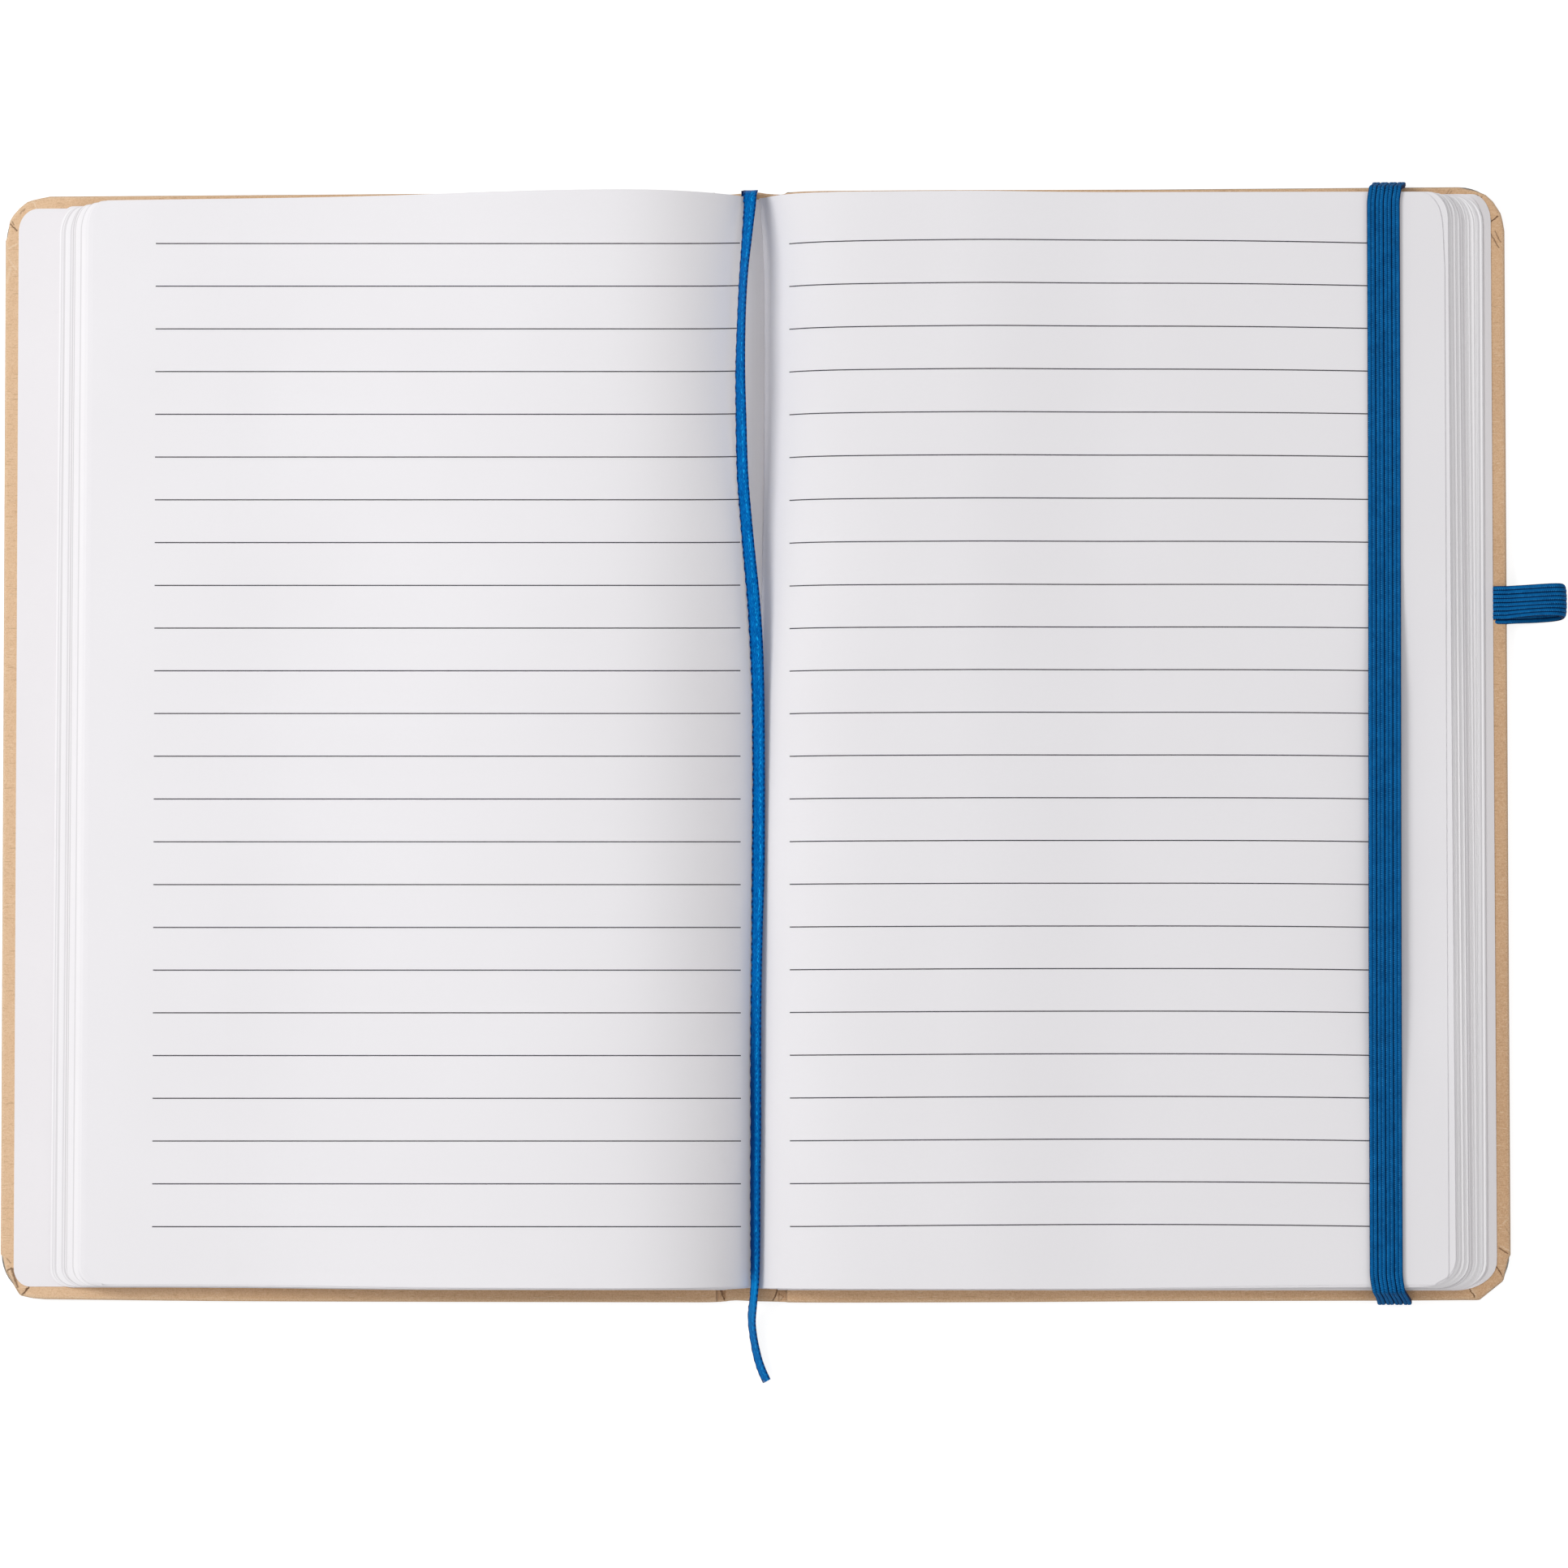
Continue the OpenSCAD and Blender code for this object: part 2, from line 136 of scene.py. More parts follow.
camera_data = bpy.data.cameras.new("camera")
camera = add_object("camera", camera_data)
scene.camera = camera
camera_data.sensor_width = 36
camera_data.sensor_fit = "HORIZONTAL"
camera_data.lens = 151.86
camera_data.clip_start = 0.02
camera_data.clip_end = 20
camera.location = [c / 1000 for c in EYE]
camera.rotation_euler = (0.048566, 0.04745, -0.000779)

# ---------------------------------------------------------------- material building


class Tree:
    """A material's or world's node tree, with short calls for the nodes in it."""

    def __init__(self, owner, kind):
        owner.use_nodes = True
        self.tree = owner.node_tree
        self.tree.nodes.clear()
        self.surface = self.tree.nodes.new("ShaderNodeOutput" + kind).inputs["Surface"]

    def join(self, source, socket):
        if isinstance(source, (int, float, tuple)):
            socket.default_value = source
        else:
            self.tree.links.new(source, socket)

    def node(self, kind, inputs=None, out=0, **props):
        """An output of a new node, whose inputs are joined to other nodes or set."""
        node = self.tree.nodes.new("ShaderNode" + kind)
        for key, value in props.items():
            setattr(node, key, value)
        for key, value in (inputs or {}).items():
            self.join(value, node.inputs[key])
        return node.outputs[out]

    def math(self, op, a, b=0.0, c=0.0):
        return self.node("Math", {0: a, 1: b, 2: c}, operation=op)

    def times(self, a, b):
        return self.math("MULTIPLY", a, b)


class Mat(Tree):
    """A procedural material: a Principled shader and short calls for what feeds it."""

    def __init__(self, name, rough, specular, tint=(1, 1, 1, 1), solid=False):
        self.mat = bpy.data.materials.new(name)
        super().__init__(self.mat, "Material")
        self.solid = solid
        shader = self.node("BsdfPrincipled", {"Roughness": rough, "Specular IOR Level": specular,
                                              "Specular Tint": tint})
        self.inputs = shader.node.inputs
        self.join(shader, self.surface)

    def attr(self, name, out="Fac"):
        return self.node("Attribute", out=out, attribute_name=name)

    def place(self):
        """Place in mm on the mesh as it was built, or on a CAD solid, which has no such attribute."""
        if self.solid:
            return self.scaled(self.node("TexCoord", out="Object"), 1000)
        return self.attr("rest", "Vector")

    def axis(self, name):
        return self.node("SeparateXYZ", {0: self.place()}, name)

    def wave(self, value, pitch=1.0):
        """A sine wave along a value, between 0 and 1."""
        turn = self.times(self.math("DIVIDE", value, pitch), 2 * math.pi)
        return self.math("MULTIPLY_ADD", self.math("SINE", turn), 0.5, 0.5)

    def vector(self, op, a, b):
        out = "Value" if op in ("DOT_PRODUCT", "DISTANCE") else "Vector"
        return self.node("VectorMath", {0: a, 1: b}, out, operation=op)

    def scaled(self, vector, by):
        return self.node("VectorMath", {0: vector, "Scale": by}, operation="SCALE")

    def stretch(self, vector, scale, turn=(0, 0, 0)):
        return self.node("Mapping", {"Vector": vector, "Rotation": turn, "Scale": scale})

    def noise(self, vector, scale, detail=2.0, rough=0.5, out="Fac"):
        inputs = {"Vector": vector, "Scale": scale, "Detail": detail, "Roughness": rough}
        return self.node("TexNoise", inputs, out)

    def remap(self, value, a, b, c=0.0, d=1.0, curve="LINEAR"):
        inputs = {"Value": value, "From Min": a, "From Max": b, "To Min": c, "To Max": d}
        return self.node("MapRange", inputs, "Result", interpolation_type=curve)

    def coats(self, base, *coats):
        """A base colour with others laid over it in turn, each as strongly as its factor says."""
        for factor, colour in coats:
            base = self.node("Mix", {"Factor": factor, 6: base, 7: colour}, 2, data_type="RGBA")
        return base

    def finish(self, colour, height, strength, distance, rough=None):
        """The material, with its colour, its bump and, where it varies, its roughness."""
        bump = self.node("Bump", {"Strength": strength, "Distance": distance, "Height": height})
        self.join(colour, self.inputs["Base Color"])
        self.join(bump, self.inputs["Normal"])
        if rough is not None:
            self.join(rough, self.inputs["Roughness"])
        return self.mat


# The dark creases are painted shade, where shade falls in the kraft's folds
# Creases in the kraft at the corners and the spine's ends: two ends in mm, width and strength
DARK_CREASES = [
    (131.33, 103.23, 132.40, 104.30, 0.16, 0.4), (131.72, 103.09, 132.57, 104.00, 0.14, 0.35),
    (137.45, 102.20, 137.50, 103.04, 0.30, 1.0), (137.45, 102.27, 138.52, 102.96, 0.18, 0.6),
    (139.12, 101.03, 139.27, 100.64, 0.24, 0.7), (139.57, 97.86, 141.23, 99.12, 0.22, 1.0),
    (139.85, 95.80, 141.39, 93.23, 0.20, 0.7), (140.72, 96.32, 141.69, 94.31, 0.20, 0.65),
    (140.26, -95.25, 142.04, -96.27, 0.20, 0.8), (139.91, -98.83, 141.02, -100.64, 0.20, 0.9),
    (134.69, -102.70, 135.68, -104.37, 0.20, 0.9), (141.54, -91.33, 142.29, -92.55, 0.2, 0.3),
    (-139.65, 101.73, -138.75, 102.61, 0.22, 0.45), (-141.59, 99.79, -140.21, 98.37, 0.24, 0.9),
    (-141.20, 100.18, -140.81, 99.63, 0.22, 0.6),
    (-141.20, -99.64, -140.47, -99.18, 0.24, 0.9), (-140.47, -99.18, -140.04, -99.28, 0.24, 0.9),
    (-140.21, -99.43, -139.17, -102.71, 0.42, 0.8), (-141.20, -99.64, -138.75, -103.9, 0.26, 0.5),
    (-136.99, -102.60, -138.26, -104.13, 0.30, 1.0), (-141.15, -97.34, -140.52, -98.11, 0.18, 0.5),
    (-6.15, 105.10, -6.09, 104.60, 0.30, 1.0), (5.61, 104.78, 5.73, 104.20, 0.32, 1.0),
    (-5.80, -103.10, -5.57, -104.01, 0.42, 1.0), (-5.57, -104.01, -5.19, -104.95, 0.20, 1.0),
    (4.85, -103.10, 4.53, -104.08, 0.20, 1.0), (4.53, -104.08, 4.04, -105.15, 0.22, 1.0),
    (5.30, -103.95, 5.99, -104.46, 0.24, 0.45), (5.99, -104.46, 5.53, -105.07, 0.22, 0.5),
]
# Ridges by the creases, painted light as highlights, listed in the same way
LIGHT_CREASES = [
    (-137.22, 103.89, -136.78, 103.37, 0.26, 0.8), (-136.78, 103.37, -136.62, 102.73, 0.26, 0.7),
    (-141.82, 95.04, -140.20, 95.91, 0.24, 0.8), (-141.93, 93.18, -140.36, 90.99, 0.34, 0.5),
    (-142.14, 88.51, -141.46, 91.31, 0.34, 0.5), (140.61, -94.90, 142.27, -95.74, 0.24, 0.6),
    (141.09, -90.57, 141.85, -89.97, 0.22, 0.5), (-140.75, -99.95, -139.75, -102.3, 0.34, 0.5),
    (137.75, 102.2, 137.85, 103.2, 0.26, 0.5), (134.95, -102.6, 135.95, -104.2, 0.24, 0.5),
    (4.7, -104.5, 5.5, -104.75, 0.4, 0.45),
]


def crease_lines(m, spot, creases):
    """How strongly any of these creases marks the kraft at a spot."""
    total = 0.0
    for x0, y0, x1, y1, width, strength in creases:
        length = math.hypot(x1 - x0, y1 - y0)
        along = ((x1 - x0) / length, (y1 - y0) / length, 0)
        away = m.vector("SUBTRACT", spot, (x0, y0, 0))
        run = m.math("MINIMUM", m.math("MAXIMUM", m.vector("DOT_PRODUCT", away, along)), length)
        far = m.vector("DISTANCE", away, m.scaled(along, run))
        total = m.math("MAXIMUM", total, m.remap(far, 0.15 * width, width, strength, 0.0, "SMOOTHSTEP"))
    return total


KRAFT_DARK = (0.62, 0.385, 0.220, 1)
KRAFT_LIGHT = (0.70, 0.450, 0.265, 1)
KRAFT_DEEP = (0.46, 0.265, 0.140, 1)
KRAFT_PALE = (0.775, 0.545, 0.355, 1)
KRAFT_WARM = (0.66, 0.405, 0.225, 1)
KRAFT_GRAIN = (0.80, 0.58, 0.38, 1)
KRAFT_SHADE = (0.50, 0.30, 0.165, 1)
KRAFT_FIBRE_DARK = (0.36, 0.20, 0.10, 1)
KRAFT_FIBRE_LIGHT = (0.88, 0.70, 0.50, 1)
KRAFT_CREASE = (0.12, 0.055, 0.025, 1)
KRAFT_WORN = (0.86, 0.70, 0.52, 1)
# Fibres in the kraft: direction, scale, where the noise starts to count, colour and strength
KRAFT_FIBRES = [
    ((0.3, 0.2, 0.5), (0.45, 5.2, 5.2), 0.64, KRAFT_FIBRE_DARK, 0.4),
    ((0.1, 0.4, 2.0), (0.5, 5.6, 5.6), 0.64, KRAFT_FIBRE_LIGHT, 0.45),
    ((0.2, 0.1, 1.2), (0.4, 4.4, 4.4), 0.67, KRAFT_FIBRE_DARK, 0.3),
]
PAPER = (0.868, 0.855, 0.877, 1)
PAPER_LOW = (0.845, 0.830, 0.851, 1)
PAPER_EDGE = (0.965, 0.953, 0.965, 1)
PAPER_GAP = (0.50, 0.475, 0.48, 1)
END_PAPER = (0.862, 0.84, 0.86, 1)
END_PAPER_LOW = (0.84, 0.818, 0.838, 1)
END_PAPER_SHADE = (0.725, 0.70, 0.71, 1)
INK = (0.048, 0.045, 0.052, 1)
INK_THIN = (0.07, 0.066, 0.075, 1)
INK_SPECK = (0.2, 0.19, 0.21, 1)
BOARD_DARK = (0.20, 0.185, 0.165, 1)
BOARD_LIGHT = (0.33, 0.31, 0.28, 1)
BOARD_PLY = (0.15, 0.14, 0.125, 1)
GAUZE_GAP = (0.42, 0.40, 0.35, 1)
GAUZE_THREAD = (0.80, 0.77, 0.69, 1)
ELASTIC_TINT = (0.1, 0.5, 1.0, 1)
ELASTIC_DARK = (0.003, 0.076, 0.240, 1)
ELASTIC_LIGHT = (0.004, 0.118, 0.35, 1)
ELASTIC_TIP = (0.008, 0.19, 0.50, 1)
ELASTIC_GROOVE = (0.0015, 0.018, 0.085, 1)
ELASTIC_DEEP = (0.001, 0.008, 0.05, 1)
ELASTIC_GLINT = (0.08, 0.40, 0.78, 1)
SATIN_TINT = (0.01, 0.42, 1.0, 1)
SATIN_DARK = (0.0006, 0.060, 0.27, 1)
SATIN_LIGHT = (0.0010, 0.125, 0.46, 1)
SATIN_TIP = (0.002, 0.27, 0.70, 1)
SATIN_FLECK = (0.010, 0.44, 0.92, 1)
SATIN_EDGE = (0.0006, 0.012, 0.085, 1)
SATIN_SOIL = (0.28, 0.3, 0.32, 1)


def kraft_material():
    m = Mat("kraft_paper", 0.8, 0.12)
    place = m.place()
    x, y, z = (m.axis(name) for name in "XYZ")
    mottle = m.noise(place, 0.55, 4.0, 0.6)
    grain = m.noise(place, 4.5, 3.0, 0.7)
    # The creases wander a little from their straight lines, and mark the upper side only
    wander = m.vector("SUBTRACT", m.noise(place, 1.6, out="Color"), (0.5, 0.5, 0.5))
    wander = m.vector("MULTIPLY", wander, (0.5, 0.5, 0))
    spot = m.vector("ADD", m.vector("MULTIPLY", place, (1, 1, 0)), wander)
    upper = m.remap(z, 0.3, 0.9)
    # Painted shade along the dark creases, painted highlights along the light ones
    dark = m.times(crease_lines(m, spot, DARK_CREASES), upper)
    light = m.times(crease_lines(m, spot, LIGHT_CREASES), upper)
    fibres = [(m.remap(m.noise(m.stretch(place, scale, turn), 1.0, 1.5), low, low + 0.07, 0.0, most), colour)
              for turn, scale, low, colour, most in KRAFT_FIBRES]
    worn = m.times(m.attr("worn"), m.remap(grain, 0.35, 0.65))
    base = m.coats(
        KRAFT_DARK,
        (m.remap(m.noise(place, 0.05, 3.0), 0.3, 0.7), KRAFT_LIGHT),
        # Painted light: the front cover is paler towards its fore-edge, which faces the light
        (m.remap(x, -90.0, -139.0, 0.0, 0.8), KRAFT_PALE),
        # and the back cover is darker towards its tail
        (m.times(m.times(m.remap(x, 60.0, 125.0), m.remap(y, 70.0, -60.0)), 0.62), KRAFT_DEEP),
        (m.remap(mottle, 0.3, 0.72, 0.0, 0.4), KRAFT_WARM),
        (m.remap(grain, 0.38, 0.72, 0.0, 0.62), KRAFT_GRAIN),
        (m.remap(grain, 0.5, 0.26, 0.0, 0.55), KRAFT_SHADE),
        *fibres,
        # Painted highlights on the creases' ridges
        (m.times(light, 0.6), KRAFT_WORN),
        # Painted shade at the hinge lines
        (m.remap(m.attr("crease"), 0.15, 0.9, 0.0, 0.5), KRAFT_CREASE),
        # Painted shade in the creases
        (m.times(dark, 0.9), KRAFT_CREASE),
        (m.times(worn, 0.3), KRAFT_WORN))
    height = m.math("ADD", m.times(grain, 0.7), m.times(mottle, 0.5))
    height = m.math("ADD", height, m.times(m.math("SUBTRACT", light, dark), 1.5))
    return m.finish(base, height, 0.35, 0.00012, m.remap(mottle, 0.3, 0.7, 0.72, 0.88))


def paper_material(name, light, dark, shade=None):
    """Paper, painted paler as light where a piece's mark is over 0, and darker as shade where it is under 0,
    in a gap or down in the fold.
    """
    m = Mat(name, 0.9, 0.2)
    place = m.place()
    fibre = m.noise(m.stretch(place, (1.3, 2.4, 2.0), (0, 0, 0.4)), 1.0, 4.0, 0.65)
    tone = m.attr("tone")
    base = m.coats(
        dark,
        (m.remap(m.noise(place, 0.03, 2.0), 0.25, 0.75), light),
        (m.remap(fibre, 0.3, 0.75, 0.0, 0.5), dark),
        # Painted light where the mark is over 0, painted shade where it is under 0
        (m.remap(tone, 0.0, 1.0), PAPER_EDGE),
        (m.remap(tone, 0.0, -1.0, 0.0, 0.6), PAPER_GAP))
    if shade:
        # Painted shade: the back endpaper is darker beside the leaves that stand over it
        base = m.coats(base, (m.remap(m.axis("X"), 135.5, 137.5), shade))
    height = m.math("ADD", m.times(fibre, 0.6), m.noise(place, 6.0, 2.0))
    return m.finish(base, height, 0.18, 0.00003, m.remap(fibre, 0.3, 0.7, 0.85, 0.95))


def ink_material():
    m = Mat("ruled_ink", 0.7, 0.3)
    place = m.place()
    speck = m.noise(place, 7.0, 2.0)
    base = m.coats(
        INK,
        (m.remap(m.noise(place, 0.6, 3.0), 0.3, 0.7), INK_THIN),
        (m.remap(speck, 0.55, 0.8, 0.0, 0.35), INK_SPECK))
    return m.finish(base, speck, 0.1, 0.00002)


def board_material():
    m = Mat("greyboard", 0.92, 0.2, solid=True)
    place = m.place()
    pulp = m.noise(place, 1.2, 5.0, 0.65)
    ply = m.noise(m.stretch(place, (0.08, 0.08, 6.0)), 1.0, 2.0)
    base = m.coats(
        BOARD_DARK,
        (m.remap(pulp, 0.3, 0.7), BOARD_LIGHT),
        (m.remap(ply, 0.4, 0.7, 0.0, 0.4), BOARD_PLY))
    return m.finish(base, pulp, 0.4, 0.00015)


def gauze_material():
    m = Mat("gauze", 0.95, 0.15, solid=True)
    place = m.place()
    warp = m.noise(m.stretch(place, (5.0, 0.3, 1.0)), 1.0, 1.0)
    weft = m.noise(m.stretch(place, (0.3, 5.0, 1.0)), 1.0, 1.0)
    thread = m.math("MAXIMUM", warp, weft)
    base = m.coats(GAUZE_GAP, (m.remap(thread, 0.45, 0.7), GAUZE_THREAD))
    return m.finish(base, thread, 0.5, 0.0002)


def elastic_material():
    """Knitted elastic: cords in pairs, with a fine slanted stitch. cord runs from 0 to 8."""
    m = Mat("blue_elastic", 0.7, 0.08, ELASTIC_TINT)
    place = m.place()
    cord = m.attr("cord")
    in_cord = m.math("FRACT", cord)
    beside, beside_pair = (m.math("ABSOLUTE", m.math("SUBTRACT", part, 0.5))
                           for part in (in_cord, m.math("FRACT", m.times(cord, 0.5))))
    uneven = m.noise(m.stretch(place, (1.5, 1.5, 1.5)), 1.0, 3.0)
    # Stitches lean one way on one cord of a pair and the other way on its neighbour
    stitch = m.wave(m.math("ADD", m.math("DIVIDE", m.attr("along"), 0.37), m.times(beside_pair, 1.6)))
    groove = m.remap(beside, 0.27, 0.47)
    # Painted shade: the pen loop's grooves are darker still
    slack = m.times(m.attr("slack"), m.remap(beside, 0.30, 0.46, 0.0, 0.85))
    deep = m.math("MAXIMUM", m.remap(beside_pair, 0.40, 0.485), slack)
    glint = m.times(m.remap(in_cord, 0.05, 0.2), m.remap(in_cord, 0.38, 0.22))
    glint = m.times(glint, m.math("POWER", stitch, 2.0))
    # Painted highlights on the stitches, painted shade in the grooves between the cords
    base = m.coats(
        ELASTIC_DARK,
        (m.remap(m.noise(place, 0.35, 3.0), 0.3, 0.7), ELASTIC_LIGHT),
        (m.times(stitch, m.remap(uneven, 0.3, 0.7, 0.1, 0.55)), ELASTIC_TIP),
        (m.times(groove, m.remap(stitch, 0.0, 0.9, 0.95, 0.35)), ELASTIC_GROOVE),
        (m.times(deep, 0.92), ELASTIC_DEEP),
        (m.times(glint, m.remap(uneven, 0.35, 0.7, 0.15, 0.7)), ELASTIC_GLINT))
    return m.finish(base, m.math("SUBTRACT", m.times(stitch, 0.5), groove), 0.6, 0.00012)


def satin_material():
    """Woven satin. across runs from -1.4 to 1.4 mm over the ribbon, and along from its glued end."""
    m = Mat("blue_satin", 0.45, 0.05, SATIN_TINT)
    across, along, place = m.attr("across"), m.attr("along"), m.place()
    twill = m.wave(m.math("ADD", m.math("DIVIDE", along, 0.62), m.math("DIVIDE", across, 0.42)))
    thread = m.wave(across, 0.2)
    tooth = m.wave(along)
    patch = m.noise(m.stretch(place, (1.6, 0.7, 1.0)), 1.0, 4.0, 0.6)
    fleck = m.noise(m.stretch(place, (5.0, 1.7, 3.0), (0, 0, 0.35)), 1.0, 2.0)
    # Painted highlights: a row of light specks runs along the ribbon, right of its middle, for the satin's
    # sheen
    row = m.remap(m.math("ABSOLUTE", m.math("SUBTRACT", across, 0.42)), 0.04, 0.34, 1.0, 0.0, "SMOOTHSTEP")
    flecks = m.times(m.math("MULTIPLY_ADD", row, 0.75, 0.25), m.remap(fleck, 0.48, 0.62, 0.0, 0.8))
    # Dark toothed edges: the woven edges' own colour, and partly painted shade
    left = m.times(m.remap(across, -0.8, -1.15), m.remap(tooth, 0.2, 0.8, 0.45, 1.0))
    right = m.times(m.remap(across, 0.9, 1.2), m.remap(tooth, 0.1, 0.9, 0.45, 0.95))
    base = m.coats(
        SATIN_DARK,
        (m.remap(patch, 0.3, 0.7), SATIN_LIGHT),
        (m.times(twill, 0.25), SATIN_TIP),
        (m.times(thread, 0.22), SATIN_DARK),
        (flecks, SATIN_FLECK),
        # Painted light: the free end is paler
        (m.times(m.attr("free"), 0.5), SATIN_TIP),
        (m.math("MAXIMUM", left, right), SATIN_EDGE),
        # Painted shade on the end turned under at the head and on the left part down in the gutter
        (m.times(m.attr("folded"), 0.8), SATIN_EDGE),
        (m.times(m.attr("shaded"), 0.8), SATIN_EDGE),
        (m.times(m.attr("soiled"), 0.75), SATIN_SOIL))
    height = m.math("ADD", m.times(twill, 0.6), m.times(thread, 0.4))
    return m.finish(base, height, 0.3, 0.00005)


kraft = kraft_material()
page_paper = paper_material("page_paper", PAPER, PAPER_LOW)
end_paper = paper_material("end_paper", END_PAPER, END_PAPER_LOW, END_PAPER_SHADE)
ink = ink_material()
greyboard = board_material()
gauze = gauze_material()
band_elastic = elastic_material()
satin = satin_material()

# ---------------------------------------------------------------- mesh building


def make(name, verts, faces, material, slot, body="book", replaces=(), sharp=40, **marks):
    """A closed mesh from points in mm, with its place and marks kept as attributes for the materials."""
    verts = np.asarray(verts, float)
    mesh = bpy.data.meshes.new(name)
    mesh.from_pydata((verts / 1000).tolist(), [], [list(map(int, f)) for f in faces])
    rest = mesh.attributes.new("rest", "FLOAT_VECTOR", "POINT")
    rest.data.foreach_set("vector", verts.astype(np.float32).ravel())
    for key, values in marks.items():
        layer = mesh.attributes.new(key, "FLOAT", "POINT")
        layer.data.foreach_set("value", np.asarray(values, np.float32).ravel())
    work = bmesh.new()
    work.from_mesh(mesh)
    bmesh.ops.recalc_face_normals(work, faces=work.faces)
    work.to_mesh(mesh)
    work.free()
    mesh.polygons.foreach_set("use_smooth", [True] * len(mesh.polygons))
    mesh.set_sharp_from_angle(angle=math.radians(sharp))
    mesh.materials.append(material)
    obj = add_object(name, mesh)
    if body:
        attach(obj, body)
    if replaces:
        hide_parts(*replaces)
    return obj


def bend_at_hinge(obj):
    """Bakes a piece's placement into its points."""
    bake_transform(obj)


def rim(grid):
    """The border of a grid of rows by columns, as a closed loop."""
    return np.concatenate([grid[0, :], grid[1:, -1], grid[-1, -2::-1], grid[-2:0:-1, 0]])


def quads(ids, order=(0, 1, 2, 3)):
    """Faces between the rows and columns of a grid of point numbers."""
    corners = np.stack([ids[:-1, :-1], ids[:-1, 1:], ids[1:, 1:], ids[1:, :-1]], -1)
    return corners.reshape(-1, 4)[:, order]


def ring_quads(a, b):
    """Faces between two closed loops of point numbers."""
    return np.stack([a, np.roll(a, -1, axis=-1), np.roll(b, -1, axis=-1), b], -1).reshape(-1, 4)


TURNED = (0, 3, 2, 1)


def slab(top, bottom, first=0):
    """Points and faces of a closed slab between two grids of rows by columns."""
    ids = np.arange(top[..., 0].size).reshape(top.shape[:2]) + first
    low = ids + ids.size
    verts = np.concatenate([top.reshape(-1, 3), bottom.reshape(-1, 3)])
    return verts, np.concatenate([quads(ids), quads(low, TURNED), ring_quads(rim(low), rim(ids))])


def join_slabs(pairs):
    verts, faces, count = [], [], 0
    for top, bottom in pairs:
        v, f = slab(top, bottom, count)
        verts.append(v)
        faces.append(f)
        count += len(v)
    return np.concatenate(verts), np.concatenate(faces)


def tube(rings):
    """Points and faces of a swept ring with flat ends."""
    ids = np.arange(rings[..., 0].size).reshape(rings.shape[:2])
    faces = ring_quads(ids[:-1], ids[1:]).tolist()
    return rings.reshape(-1, 3), faces + [ids[0, ::-1].tolist(), ids[-1].tolist()]


def run_along(line):
    """The length so far and the direction at each point of a line."""
    along = np.concatenate([[0], np.cumsum(np.linalg.norm(np.diff(line, axis=0), axis=1))])
    tangent = np.gradient(line, axis=0)
    return along, tangent / np.linalg.norm(tangent, axis=1)[:, None]


def spline(points, step):
    """A smooth line through points, cut into short steps; extra columns follow the same way."""
    p = np.asarray(points, float)
    ext = np.vstack([2 * p[0] - p[1], p, 2 * p[-1] - p[-2]])
    out = []
    for i in range(1, len(ext) - 2):
        a, b, c, d = ext[i - 1], ext[i], ext[i + 1], ext[i + 2]
        n = max(1, int(math.ceil(np.linalg.norm((c - b)[:3]) / step)))
        for t in np.arange(n) / n:
            out.append(0.5 * (2 * b + (c - a) * t + (2 * a - 5 * b + 4 * c - d) * t * t
                              + (3 * b - a - 3 * c + d) * t ** 3))
    out.append(p[-1])
    return np.array(out)


def ripple(x, y, seed, scale):
    """A smooth, fixed unevenness between about -1 and 1."""
    r = np.random.default_rng(seed)
    total = np.zeros(np.broadcast(x, y).shape)
    for _ in range(6):
        ang = r.uniform(0, 2 * math.pi)
        freq = r.uniform(0.6, 1.6) / scale
        total = total + np.sin((x * math.cos(ang) + y * math.sin(ang)) * freq + r.uniform(0, 6.3))
    return total / 3.5


# ---------------------------------------------------------------- pages' surface


def page_curve(d, crest, flat, bulge, power):
    d = np.asarray(d, float)
    dive = GUTTER_Z + (RIM_Z + bulge - GUTTER_Z) * (1 - np.power(np.clip(1 - d / crest, 0, None), power))
    slope = RIM_Z + bulge * (1 + np.cos(np.pi * np.clip((d - crest) / (flat - crest), 0, 1))) / 2
    return np.where(d < crest, dive, slope)


def leaf_height(half, share, root, d, y):
    """Top of a leaf at a distance d from the gutter."""
    crest = half["crest"]
    g = np.where(d < crest, (d - root) * crest / (crest - root), d)
    g = np.clip(g, 0, None)
    z = PAGE_Z + (page_curve(g, crest, half["flat"], half["bulge"], half["power"]) - PAGE_Z) * share
    away = smooth(8, 40, d)
    sway = ripple(half["side"] * d, y, 5 + half["side"], 38) * 0.10 * away * share ** 2
    if half["side"] > 0:
        # The band is taut from head to tail, and the leaves sink away below its middle
        across = np.exp(-((d + GUTTER_X - 122.5) / 8.5) ** 2)
        sway = sway - 1.25 * across * smooth(34, 4, y) * smooth(-78, -46, y) * share ** 2
    return z + sway


def facet_surface(half, end):
    crest, flat = half["crest"], half["flat"]
    d = [crest * (i / 6) ** 1.5 for i in range(6)]
    d += [crest + (flat - crest) * i / 6 for i in range(6)] + [flat, end]
    return np.array(d), page_curve(d, crest, flat, half["bulge"], half["power"])


LEFT_FACETS = facet_surface(LEFT, 133.7)
RIGHT_FACETS = facet_surface(RIGHT, 136.9)


# The fold between the two halves isn't quite straight: place from head to tail, and mm to the right
FOLD_BEND = [(-102, -1.2), (-59, -0.8), (-12.8, -0.1), (27.2, 0.7), (48.8, 1.15), (76.5, 1.3),
             (90.3, 1.2), (96.5, 0.9), (103.6, 0.35)]


def fold_bend(x, y):
    return table(FOLD_BEND, y) * np.exp(-((x - GUTTER_X) / 6.5) ** 2)


def page_top(x, y):
    """Height of the pages as the ribbon meets them: the CAD's facets, along the bent fold."""
    x = x - float(fold_bend(x, y))
    if x < GUTTER_X:
        return float(np.interp(GUTTER_X - x, *LEFT_FACETS))
    return float(np.interp(x - GUTTER_X, *RIGHT_FACETS))


# ---------------------------------------------------------------- ribbon marker

